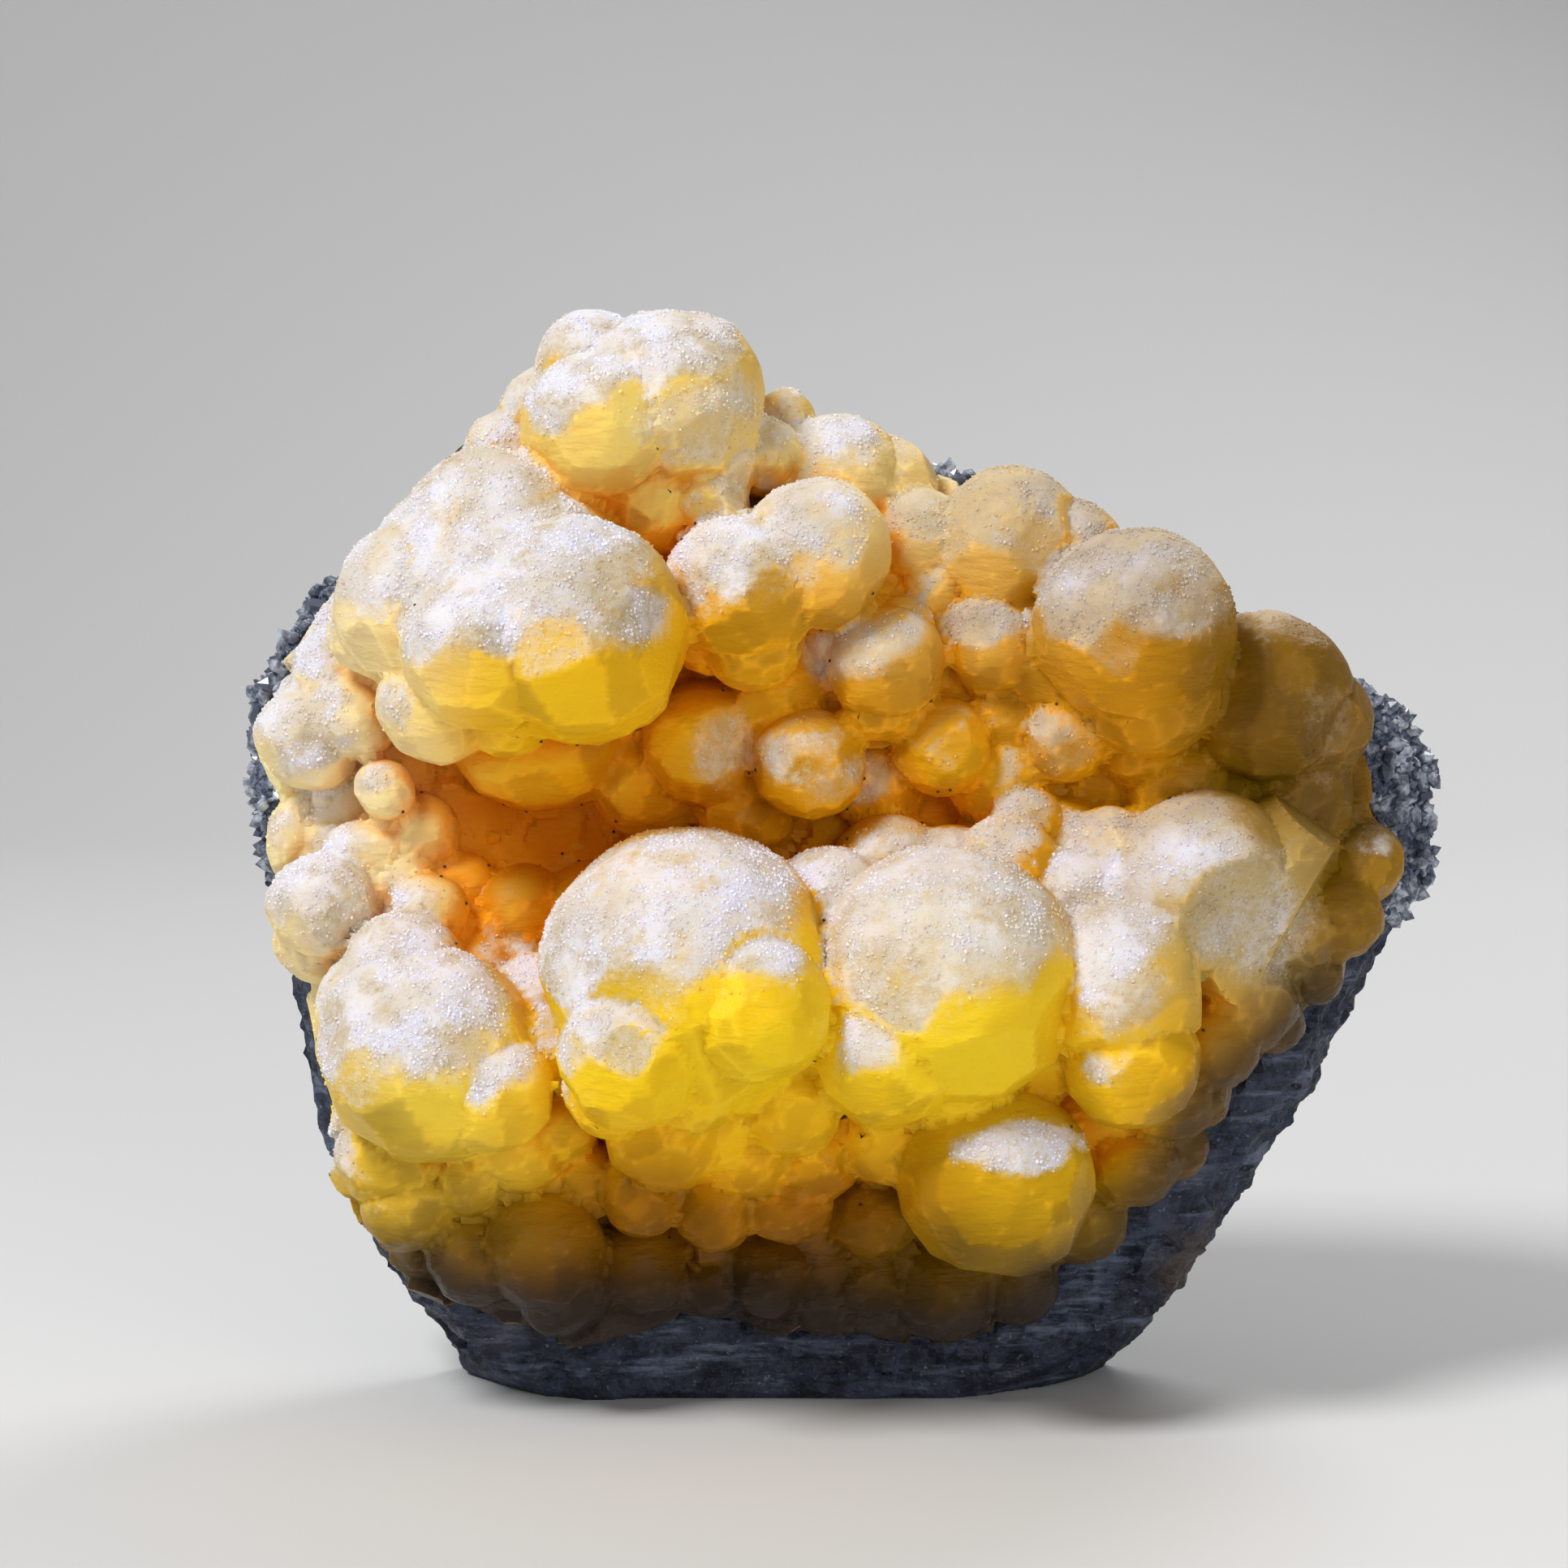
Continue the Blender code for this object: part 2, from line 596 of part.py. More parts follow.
def build():
    for leftover in list(bpy.data.objects):
        bpy.data.objects.remove(leftover)

    matrix = quartz_slab("quartz_matrix")
    crystals = [crystal(f"crystal_{i}", *row) for i, row in enumerate(CRYSTALS)]
    crust = crust_shape("fluorite_crust")
    clearances = [grown(made, f"clearance_{i}") for i, made in enumerate([matrix, *crystals])]
    foot = foot_block()
    for made in (matrix, crust, foot, *crystals, *clearances):
        stand(made)

    crystal_guides = as_guides("quartz crystals", crystals)
    clearance_guides = as_guides("room for the matrix", clearances)
    as_guides("foot cutter", [foot])
    boolean(matrix, "join crystals", "UNION", crystal_guides)
    boolean(matrix, "cut foot", "DIFFERENCE", foot)
    fused = crust.modifiers.new("grow together", "REMESH")
    fused.mode = "VOXEL"
    fused.voxel_size = FUSE_STEP * MM
    fused.use_smooth_shade = True
    coarser = crust.modifiers.new("keep the facets that count", "DECIMATE")
    coarser.ratio = CRUST_DETAIL
    boolean(crust, "clear matrix", "DIFFERENCE", clearance_guides)

    matrix.data.materials.append(material("quartz", QUARTZ_COLOUR, 0.55))
    crust.data.materials.append(material("fluorite", FLUORITE_COLOUR, 0.4))


build()
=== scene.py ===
"""The fine surface, materials, floor, light and camera of the spherical fluorite on quartz.

Four pieces dress the two solids: a fine skin for each, the grains that frost the crust, and
the small quartz crystals of the matrix's rim. Sizes are millimetres until finish_piece().
"""

import math
from itertools import product

import bmesh
import bpy
import numpy as np
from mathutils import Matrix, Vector, noise
from mathutils.bvhtree import BVHTree


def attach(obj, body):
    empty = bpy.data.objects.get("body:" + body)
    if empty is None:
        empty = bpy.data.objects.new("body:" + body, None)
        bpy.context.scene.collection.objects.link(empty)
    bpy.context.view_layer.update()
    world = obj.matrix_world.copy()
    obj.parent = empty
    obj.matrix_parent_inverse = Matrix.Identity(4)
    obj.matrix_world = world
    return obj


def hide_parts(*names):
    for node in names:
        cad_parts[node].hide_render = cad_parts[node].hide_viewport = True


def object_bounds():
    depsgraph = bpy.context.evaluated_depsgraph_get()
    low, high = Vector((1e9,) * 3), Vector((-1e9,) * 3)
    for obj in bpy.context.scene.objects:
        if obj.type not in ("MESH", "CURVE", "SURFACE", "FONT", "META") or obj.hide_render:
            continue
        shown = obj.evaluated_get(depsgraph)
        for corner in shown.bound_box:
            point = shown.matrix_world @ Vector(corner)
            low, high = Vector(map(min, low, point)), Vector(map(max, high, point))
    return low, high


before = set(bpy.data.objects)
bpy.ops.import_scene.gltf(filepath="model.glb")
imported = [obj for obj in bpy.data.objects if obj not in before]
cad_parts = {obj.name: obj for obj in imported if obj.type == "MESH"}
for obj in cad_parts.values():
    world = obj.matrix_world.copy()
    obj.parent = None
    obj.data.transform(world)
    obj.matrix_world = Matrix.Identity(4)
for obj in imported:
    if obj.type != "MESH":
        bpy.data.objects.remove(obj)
CAD_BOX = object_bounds()

MM = 0.001

# The spheres and outlines are given as they are seen by an eye straight in front, in
# millimetres: across from the middle, up from the foot, and how far out towards the eye.
EYE_DISTANCE = 362.0
EYE_ELEVATION = math.radians(5.0)
SINE, COSINE = math.sin(EYE_ELEVATION), math.cos(EYE_ELEVATION)
SIGHT_POINT = (-5.25, 56.9)  # across and up of the point that the eye looks at
STANDING_SHIFT = (-0.33, 2.55, 0.0)  # puts the middle of the whole over the origin
PICTURE_WIDTH = 144.9  # what the photograph shows across, at the sight plane

CRUST_BED = 4.0  # least thickness of the crust between its spheres
RING_POINTS = 180  # corners of each ring of the bed
CENTRE = (0.0, 45.0)  # the middle of the bed's rings, across and up
BED_SHARES = (0.05, 0.12, 0.2, 0.28, 0.36, 0.44, 0.52, 0.6, 0.68, 0.76, 0.84, 0.9, 0.95, 0.98)
BED_BACK = 4.0  # how deep its hidden back lies
# Where the bed turns round to its back: share of the crust's edge, depth.
BED_RIM = ((1.0, -3.6), (0.985, -1.0), (0.96, 2.0), (0.5, BED_BACK))
# Rises and hollows of the bed: middle across and up, reach across and up, height.
HOLLOW_PLACE = (-27, 52, 11, 7, -6)
BED_SWELLINGS = (
    (6, 68, 20, 11, 5.5), (30, 64, 12, 10, 3.5), (14, 46, 26, 6, 5), (-6, 40, 14, 8, 3),
    (-6, 25, 24, 7, 6.5), (24, 27, 10, 8, 4.5), (-4, 12, 32, 5, 3), (-16, 84, 11, 8, 4),
    (-44, 50, 7, 14, 2.5), (-37, 26, 9, 12, 4.5), (32, 32, 9, 9, 3), (-36, 46, 7, 6, 3),
    (4, 56.5, 18, 3, -1.5),
)
FINE_SPHERE_RADIUS = 6.0  # spheres larger than this start out finer
SPHERE_FINENESS = (4, 5)  # of the small and the large ones, before they are fused
FACET_LOWEST = math.radians(-85)
FACET_TURN = math.radians(137.5)  # from one growth face to the next
# Flat growth faces under each sphere, the large ones and the small ones between them: how
# many, the highest one's tilt, the distance from the sphere's middle, and how much it varies.
FACET_FAMILIES = ((11, math.radians(6), 0.925, 0.02), (27, math.radians(24), 0.952, 0.018))

WARPS = ((0.5, 13.0), (0.22, 5.0))  # height and wavelength of the spheres' slight unevenness
NOISE_STARTS = (Vector((0, 0, 0)), Vector((37.1, 5.3, 11.9)), Vector((8.7, 61.3, 23.5)))

CRUST_VOXEL, QUARTZ_VOXEL, GRAINS, RIM_CRYSTALS = (
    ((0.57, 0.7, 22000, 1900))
)
DARK_SPECKS = 140
FOOT_TOP = 0.35  # the matrix below this height keeps its flat foot
BURIED = 1.2  # how deep in the matrix the crust's skin is left out
CRISP_EDGE = math.radians(16)  # edges sharper than this are shaded as edges
EDGE_SNAP = 0.36  # how far a point may be moved to lie on the edge between two faces
CREASE_SHARE = 0.7  # the share of that in a crease between two spheres
NEAR_SPHERE = 1.3  # square of the distance, in radii, at which a sphere may own a point
NEARLY_PARALLEL = 0.02  # two faces that differ less than this have no edge
FAR = 9.0  # further than any point is moved
# How open a place is: how many directions are tried, and the width of what hides it.
CRUST_LOOKS = (64, 0.75)
QUARTZ_LOOKS = (40, 1.1)

# The lights, in metres: name, place, width, power.
LIGHTS = (
    ("key", (-0.40, -0.38, 0.66), 0.25, 5.5),
    ("fill", (0.45, -0.85, 0.22), 0.7, 2.6),
    ("back", (0.30, 0.55, 0.60), 0.4, 2.5),
)
LIT_POINT = (0, 0, 0.05)
FLUORITE_IOR, QUARTZ_IOR = 1.434, 1.544  # how strongly each bends light
MIX_FIRST, MIX_SECOND, MIX_RESULT = 6, 7, 2  # the colour sockets of a mix node

# The ways that the frost and its painted light come from: across, back, up. What they don't reach
# stays clear, as painted shadow.
DUST_AND_LIGHT_WAYS = (
    (-0.45, -0.55, 0.9), (-0.15, -0.75, 0.9), (-0.75, -0.45, 0.8), (-0.3, -0.2, 1.0),
    (0.15, -0.6, 0.85), (-0.5, -0.9, 0.6),
)
# The way the frost faces, which is also the way its painted light comes from.
FROST_AND_LIGHT_FACING = (-0.34, -0.45, 0.82)

CLEAR = (0.78, 0.40, 0.010)  # the clear fluorite where no tint below reaches
# Painted shade: the deeper orange of the crust's recesses.
RECESS_SHADE = (0.80, 0.29, 0.003)
EDGE_SHADE_COLOUR = (0.030, 0.024, 0.022)  # painted shade at the crust's lower and lower right edge
UNDER_FROST = (0.62, 0.49, 0.30)
LILAC = (0.82, 0.80, 0.86)
CREAM = (0.88, 0.79, 0.60)
# Tan frost, also used as painted shade on the frost at the right.
TAN = (0.42, 0.31, 0.215)
SPECK = (0.06, 0.025, 0.012)

# Body colours by part of the crust: across, up, reach across, reach up, weight, colour.
# The darkest of them, along the lower and right edge, are painted shade.
BODY_AND_SHADE_TINTS = (
    (-14, 30, 15, 9, 1.6, (1, 0.68, 0.012)), (10, 31, 13, 8, 1.6, (1, 0.7, 0.02)),
    (27, 32, 8, 8, 1.2, (1, 0.6, 0.012)), (-24, 63, 16, 8, 1.2, (1, 0.61, 0.01)),
    (-38, 24, 9, 9, 1.2, (0.98, 0.76, 0.08)), (-47, 55, 8, 18, 2, (0.9, 0.78, 0.46)),
    (-18, 88, 14, 7, 1, (0.94, 0.72, 0.22)), (6, 84, 12, 6, 1, (0.76, 0.62, 0.3)),
    (5, 62, 22, 12, 1.6, (0.62, 0.27, 0.004)), (10, 57, 6, 5, 2, (0.9, 0.5, 0.005)),
    (12, 72, 9, 6, 1.2, (0.66, 0.4, 0.09)), (27, 64, 12, 12, 1.6, (0.5, 0.21, 0.003)),
    (43, 60, 8, 12, 6, (0.15, 0.075, 0.008)), (38, 45.5, 7, 8, 3, (0.74, 0.56, 0.2)),
    (47.5, 45, 3.5, 6, 7, (0.34, 0.17, 0.008)), (46, 37, 4, 7, 6, (0.1, 0.055, 0.01)),
    (-45, 19, 5, 6, 3, (0.5, 0.3, 0.01)), (14, 17, 9, 8, 5, (0.52, 0.3, 0.005)),
    (-14, 23, 20, 5, 1.2, (0.96, 0.46, 0.004)), (0, 18, 7, 5, 5, (0.36, 0.11, 0.002)),
    (-28, 14, 13, 5, 4, (0.16, 0.06, 0.003)), (-13, 17, 13, 3.5, 6, (0.4, 0.15, 0.003)),
    (-4, 6, 42, 7, 12, (0.026, 0.01, 0.002)), (36, 28, 9, 10, 2, (0.55, 0.25, 0.005)),
)
# Where the frost is thin: across, up, reach across, reach up, share that is missing.
FROST_THIN = (
    (-9, 35, 6, 5, 0.75), (4, 60, 16, 10, 0.15), (43, 61, 9, 12, 0.8), (-2, 12, 44, 11, 1),
    (48, 45, 3.5, 6, 0.9), (10, 84, 9, 5, 0.4), (14, 17, 12, 8, 0.8), (36, 34, 9, 12, 0.9),
)
# Where the frost comes further down: across, up, reach across, reach up, how much.
FROST_MORE = (
    (-12, 90, 13, 7, 0.62), (-9, 84, 5, 4, 0.6), (-20, 73, 6, 4, 0.65), (1, 69, 6, 4, 0.65),
    (-39, 33, 8, 7, 0.8), (-47, 45, 6, 9, 0.6), (-48, 60, 6, 9, 0.75), (-11, 60, 4, 5, 0.5),
    (2, 57, 6, 4, 0.55), (20, 60, 5, 5, 0.35), (25, 45, 10, 5, 0.5), (27, 37, 6, 5, 0.75),
    (30, 73, 7, 4, 0.65), (37.5, 45.5, 7.5, 8, 0.58), (45, 62, 4, 7, 0.35),
)
LIT_FROST_PATCH = (16.5, 23.3, 6.5, 3.4)  # a painted pool of light on the frost of the lowest large sphere
SHADED_HOLLOW = (-27, 52, 14, 8)  # the deep hollow at the left, kept free of frost as painted shade
CREAMY_PLACES = ((-14, 92, 12, 5), (12, 40, 11, 8))
BLOCK_PLACE = (34, 47, 11, 8)  # the block at the shelf's right end
WEAK_SHADE_SIDE = (-48, 55, 8, 22)  # the crust's left side, where the painted shade of the recesses is weaker

# Where the crust ends on the matrix, clockwise from the upper left: across, up.
CRUST_EDGE = (
    (-48.5, 72.5), (-45, 77), (-40.5, 82), (-35, 87), (-31, 90), (-25, 92), (-18, 93), (-10, 91),
    (-4, 88.5), (2, 86), (8, 85), (12, 84), (18, 81), (25, 78), (33, 74), (40, 68), (46.5, 65.5),
    (48.5, 61), (49.5, 55), (51, 49), (49, 44.5), (45, 40), (42, 37), (39, 32.5), (36, 28.5),
    (32, 23.5), (28, 19.5), (23, 15), (19, 11), (16.5, 7.5), (13.5, 6), (9, 5), (6, 6), (2, 6),
    (-3, 5.5), (-7, 6), (-11, 7.5), (-16, 7.5), (-21, 5.5), (-27, 6), (-31, 7.5), (-36.5, 8.5),
    (-39.5, 11), (-41.5, 13.5), (-45, 17), (-46.7, 21), (-47, 27), (-48.5, 33), (-49.5, 38),
    (-51, 45), (-51.5, 51), (-52, 55), (-53.5, 58), (-54, 61.5), (-53, 65), (-51, 69),
)
# The spheres of the crust, by where they sit: across, up, out, radius. A sphere that is longer
# in one direction has three more numbers, its stretch across, up and out.
CROWN = (
    (-22.8, 95.3, 8, 5.5), (-15.7, 91.8, 11, 9.2), (-22.4, 89.8, 15, 7.1), (-27, 90.6, 7, 4.9),
    (-30.3, 87, 7, 4.8), (-5.2, 90.6, 4, 2.8), (0, 85, 6, 6.3), (4.2, 84.3, 5, 4.9),
    (-11.3, 86.6, 11, 4.3), (-12.2, 82.2, 12, 3.8), (-7.3, 87, 9, 4), (-18, 82.3, 11, 5.2),
    (-13, 79.2, 9, 4.8), (-3.5, 86, 5, 4.5),
)
GREAT_LEFT = (
    (-31.5, 73.4, 12.5, 13.3), (-32.3, 79.4, 15, 8.7), (-38.7, 73.4, 15, 8.2),
    (-25, 70.6, 20.5, 10.9), (-32.6, 69.3, 22, 8.4), (-42.4, 71.4, 12, 5), (-27.5, 63.6, 20, 2.9),
    (-23.3, 63.8, 18, 3.2), (-37, 64.2, 16, 5.9), (-30.8, 63.4, 17, 4.4), (-20, 66, 18, 4.6),
)
MIDDLE = (
    (-2.4, 77.9, 15, 7.3), (-9.2, 74.6, 16, 7.1), (-8.4, 70, 15, 4.9), (-12.4, 70.5, 13, 4),
    (7.2, 79.5, 8, 4.8), (8.4, 75, 8, 4), (4.2, 67.9, 13, 5.6), (3.6, 64.3, 12, 3.8),
    (5.6, 71.3, 11, 3.4), (9.3, 60.2, 10, 4.7), (-2.7, 58.6, 12, 5.3), (-12.4, 60.4, 8, 6),
    (-1, 66, 6, 5), (14.3, 70.1, 10, 5), (14.6, 62.5, 6, 5.2), (3.5, 57, 6, 4.6),
)
RIGHT = (
    (15.8, 78.9, 9, 7.3), (20.6, 77.8, 8, 6), (27.2, 71.2, 15, 9.3), (28.6, 65.4, 13, 6.4),
    (28, 60.5, 9, 4), (21, 61.3, 10, 4.3), (39.3, 64.5, 7, 8.3), (43.2, 62.5, 6, 6.2),
    (42, 56, 4, 6), (36, 57.5, 4, 5),
)
SHELF = (
    (-13.9, 38.9, 17, 14.1), (-19.6, 31.7, 24, 7), (-7.8, 36, 25, 7.2), (9.9, 38.8, 18, 12.3),
    (4.4, 31.7, 21, 7.1), (26, 37.8, 17, 8), (27, 31.1, 17, 6.5), (18.6, 32.2, 13, 4.8),
    (-1, 44.6, 13, 6.4), (10.5, 47, 9, 6.2), (21.5, 45.5, 11, 6.2), (31.5, 51.8, 8, 4.8),
    (21, 51.6, 7, 4.6), (4.5, 48.4, 9, 5.8), (15.5, 49.4, 12, 4.8), (17, 53, 9, 4),
    (25, 50.4, 10, 4.8), (28.5, 46, 12, 6), (46.4, 44.7, 5, 4), (42, 43.5, 6, 4.2),
    (48.4, 49.6, 3, 4),
)
# The block at the shelf's right end, and its flat faces: a point of each, and where it faces.
BLOCK = (
    (33.5, 47.5, 12, 9), (41, 48.8, 10, 7.2), (38, 42.8, 11, 7.2),
)
BLOCK_FACES = (
    ((46.2, 51.4, 8), (0.86, -0.20, -0.47)),
    ((43.5, 53.8, 8), (0.58, -0.15, 0.80)),
    ((37.5, 46.0, 17.5), (0.40, -0.85, -0.33)),
)
LEFT_EDGE = (
    (-49, 61.2, 6, 5.2), (-44.4, 63.2, 8, 4.2), (-42.2, 56.3, 9, 2.9), (-46.6, 67, 5, 4.4),
    (-50.6, 51.6, 3, 3, 0.8, 1.3, 1), (-44.2, 50.8, 7, 3.2, 1.2, 0.85, 1), (-47.7, 45.2, 9, 5.2),
    (-48.3, 42, 7, 4), (-38, 45, 9, 3.8), (-32.7, 43, 7, 1.8), (-29.2, 40.6, 6, 2.8),
    (-40.2, 39, 13, 6), (-41, 47.6, 5, 4.6), (-36, 46.4, 3, 4.6), (-34, 39, 6, 5),
    (-27.6, 37, 11, 4.4), (-26.6, 32.6, 14, 4.2), (-38.1, 31.8, 15, 10.3), (-32.6, 28.6, 18, 6),
    (-43, 35.2, 13, 6), (-41.4, 22.2, 9, 5.2), (-40, 17.6, 9, 4.4), (-34.4, 20.4, 10, 3.8),
)
UNDER_SHELF = (
    (14.3, 20.1, 15, 9.2), (-16.5, 25.4, 16, 6.3), (-21.5, 28.6, 20, 4.6), (-13.4, 29.6, 21, 5),
    (10.5, 28.8, 17, 4.8), (4, 28.4, 16, 3.9), (-12, 25.6, 15, 4.6), (-25.7, 25.2, 11, 3.6),
    (-30, 23.6, 10, 5.2), (-8.4, 23.2, 12, 5.2), (4.2, 24.8, 12, 5), (30.4, 28.2, 9, 4.8),
    (37, 36.6, 8, 5.2), (-23.6, 20.6, 9, 3.4), (-4.4, 27, 17, 4.7), (-2.3, 22.2, 12, 4.2),
    (3, 22.6, 9, 2.7), (2.9, 17, 6, 4.4), (-18.2, 19.1, 11, 4.2), (-11.2, 17.7, 11, 4.1),
    (-4.8, 18.3, 11, 4.1), (34.5, 32.4, 10, 4.2), (33, 27.8, 9, 3.2), (27.2, 21.4, 7, 4.1),
    (39.6, 35, 5, 3.2), (43.2, 40, 4, 3.5),
)
LOWER_BAND = (
    (-27.6, 14, 9, 6), (-33.6, 13.2, 7, 5), (-25.4, 10.2, 7, 4.6), (-18.6, 12.4, 5, 5),
    (-12, 10.6, 4, 3.4), (-6.6, 11.6, 4, 4.8), (-1.6, 8.6, 4, 2.8), (2.8, 11.2, 4, 3.9),
    (9.4, 10.6, 3, 5.4), (16.6, 10.6, 3, 3.8), (22.6, 16.8, 3, 4.4), (30.6, 23.4, 4, 3.6),
)
HOLLOW = (
    (-27, 60.4, 5, 6.4, 1.45, 1, 1), (-29.4, 44.6, 4, 4.8), (-39.2, 52.4, 5, 3.8),
    (-17.6, 57, 4, 5.6), (-9, 54.2, 6, 4.6), (14.5, 57.6, 6, 5.4), (30.6, 56.8, 7, 4.8),
    (0.5, 72, 8, 6), (20.5, 68.5, 8, 6.4), (14, 74.5, 6, 6), (24, 57.5, 4, 5), (-6, 64.5, 8, 5.6),
    (-22, 44, 4, 6),
)
SPHERES = (
    CROWN + GREAT_LEFT + MIDDLE + RIGHT + SHELF + BLOCK + LEFT_EDGE + UNDER_SHELF + LOWER_BAND
    + HOLLOW
)


def seen_at(across, up, out):
    """The point, in millimetres, that the eye sees there and that far out from the sight plane."""
    nearer = (EYE_DISTANCE - out) / EYE_DISTANCE
    sideways = (across - SIGHT_POINT[0]) * nearer
    upward = (up - SIGHT_POINT[1]) * nearer
    return Vector((
        SIGHT_POINT[0] + sideways,
        upward * SINE - out * COSINE,
        SIGHT_POINT[1] + upward * COSINE + out * SINE,
    ))


def seen_place(points):
    """Across and up of points, as the eye sees them."""
    height = points[:, 2] - SIGHT_POINT[1]
    out = -points[:, 1] * COSINE + height * SINE
    nearer = (EYE_DISTANCE - out) / EYE_DISTANCE
    across = SIGHT_POINT[0] + (points[:, 0] - SIGHT_POINT[0]) / nearer
    up = SIGHT_POINT[1] + (points[:, 1] * SINE + height * COSINE) / nearer
    return across, up


def warped(point):
    """A point moved by the same slight unevenness as the solid crust has."""
    for height, wavelength in WARPS:
        place = point / wavelength
        point = point + height * Vector([noise.noise(place + start) for start in NOISE_STARTS])
    return point


def hashed(x, y, z, salt):
    """A number from 0 to 1 for each lattice corner, which looks random and never changes."""
    code = (x * 374761393 + y * 668265263 + z * 1440662683 + salt * 974634777) & 0xFFFFFFFF
    code = ((code ^ (code >> 13)) * 1274126177) & 0xFFFFFFFF
    code = ((code ^ (code >> 15)) * 2246822519) & 0xFFFFFFFF
    return ((code ^ (code >> 16)) & 0xFFFF) / 0xFFFF


def odds(count, which, salt):
    """Such a number for each thing in a row."""
    return hashed(np.arange(count, dtype=np.int64), 0, which, salt)


def drift(points, wavelength, salt=0):
    """Smooth noise from -1 to 1 at each point."""
    scaled = points / wavelength
    corner = np.floor(scaled).astype(np.int64)
    part = scaled - corner
    part = part * part * (3 - 2 * part)
    total = np.zeros(len(points))
    for beside in product((0, 1), repeat=3):
        x, y, z = (corner + beside).T
        near = [part[:, k] if beside[k] else 1 - part[:, k] for k in range(3)]
        total += (2 * hashed(x, y, z, salt) - 1) * (near[0] * near[1] * near[2])
    return total


def layered(points, wavelength, octaves, salt=0):
    """Smooth noise with finer noise added, each layer half as long and high as the last."""
    total = np.zeros(len(points))
    for octave in range(octaves):
        total += drift(points, wavelength / 2 ** octave, salt + octave) / 2 ** octave
    return total


def facet_mosaic(points, size, salt):
    """A height at each point that makes a mosaic of small, flat, tilted faces."""
    scaled = points / size
    corner = np.floor(scaled).astype(np.int64)
    nearest = np.full(len(points), np.inf)
    height = np.zeros(len(points))
    for beside in product((-1, 0, 1), repeat=3):
        x, y, z = (corner + beside).T
        drawn = np.stack([hashed(x, y, z, salt + k) for k in range(6)], 1)
        away = scaled - (corner + beside + drawn[:, :3])
        distance = (away ** 2).sum(1)
        closer = distance < nearest
        nearest = np.where(closer, distance, nearest)
        height = np.where(closer, (away * (2 * drawn[:, 3:] - 1)).sum(1) * size, height)
    return height


def smooth(low, high, value):
    """Rises smoothly from 0 at low to 1 at high, or falls where low is the higher."""
    share = np.clip((value - low) / (high - low), 0, 1)
    return share * share * (3 - 2 * share)


def mixed(first, second, share):
    """Colours between two others, one for each share."""
    share = np.asarray(share)[:, None]
    return np.asarray(first) * (1 - share) + np.asarray(second) * share


def blob(across, up, middle_across, middle_up, reach_across, reach_up):
    """1 in the middle of a place and falling off smoothly around it."""
    sideways = (across - middle_across) / reach_across
    upward = (up - middle_up) / reach_up
    return np.exp(-sideways ** 2 - upward ** 2)


def unit_of(direction):
    """A direction with length 1."""
    direction = np.asarray(direction, float)
    return direction / np.linalg.norm(direction)


def open_from(points, blockers, direction, cell):
    """1 where a point is in view from far away in a direction, 0 where something hides it."""
    direction = unit_of(direction)
    side = unit_of(np.cross(direction, (0.31, 0.17, 0.94)))
    other = np.cross(direction, side)
    everything = np.vstack((points, blockers))
    column = np.floor(everything @ side / cell).astype(int)
    row = np.floor(everything @ other / cell).astype(int)
    column -= column.min()
    row -= row.min()
    place = column * (row.max() + 1) + row
    height = everything @ direction
    top = np.full(place.max() + 1, -np.inf)
    np.maximum.at(top, place, height)
    mine = place[:len(points)]
    # A point that lies a little below the top of its column still counts as in view.
    return smooth(-3.2 * cell, -1.4 * cell, height[:len(points)] - top[mine])


def sphere_directions(count):
    """Directions spread evenly over a sphere."""
    spread = np.arange(count) + 0.5
    polar = np.arccos(1 - 2 * spread / count)
    turn = math.pi * (1 + 5 ** 0.5) * spread
    return np.stack((np.cos(turn) * np.sin(polar), np.sin(turn) * np.sin(polar), np.cos(polar)), 1)


def open_share(points, normals, blockers, count, cell):
    """How much of the space in front of each point is open, from 0 to 1."""
    seen = np.zeros(len(points))
    total = np.zeros(len(points))
    for way in sphere_directions(count):
        facing = np.clip(normals @ way, 0, 1)
        seen += facing * open_from(points, blockers, way, cell)
        total += facing
    return seen / np.maximum(total, 1e-6)


def linked(name, data):
    """An object for a mesh, a light or a camera, put in the scene."""
    made = bpy.data.objects.new(name, data)
    bpy.context.scene.collection.objects.link(made)
    return made


def object_of(name, mesh):
    """An object from a mesh that is being worked on, which is then let go."""
    data = bpy.data.meshes.new(name)
    mesh.to_mesh(data)
    mesh.free()
    return linked(name, data)


def flat(values, kind=np.float32):
    """An array's numbers in one row."""
    return np.ascontiguousarray(values, kind).ravel()


def of_triangles(name, points, faces):
    """A mesh object from arrays of corners and of triangles."""
    data = bpy.data.meshes.new(name)
    data.vertices.add(len(points))
    data.loops.add(3 * len(faces))
    data.polygons.add(len(faces))
    data.vertices.foreach_set("co", flat(points))
    data.loops.foreach_set("vertex_index", flat(faces, np.int32))
    data.polygons.foreach_set("loop_start", np.arange(0, 3 * len(faces), 3, dtype=np.int32))
    data.update(calc_edges=True)
    data.validate()
    return linked(name, data)


def values_of(collection, name, width, kind=np.float32):
    """One property of everything in a mesh collection, with a row for each."""
    values = np.empty(len(collection) * width, kind)
    collection.foreach_get(name, values)
    return values.reshape(-1, width)


def vertex_array(data):
    """Where each vertex is."""
    return values_of(data.vertices, "co", 3).astype(float)


def set_vertices(data, points):
    """Moves each vertex to its new place."""
    data.vertices.foreach_set("co", flat(points))
    data.update()


def normal_array(data):
    """Which way the surface looks at each vertex."""
    return values_of(data.vertex_normals, "vector", 3).astype(float)


def triangle_array(data):
    """The three corners of each triangle."""
    data.calc_loop_triangles()
    return values_of(data.loop_triangles, "vertices", 3, np.int32)


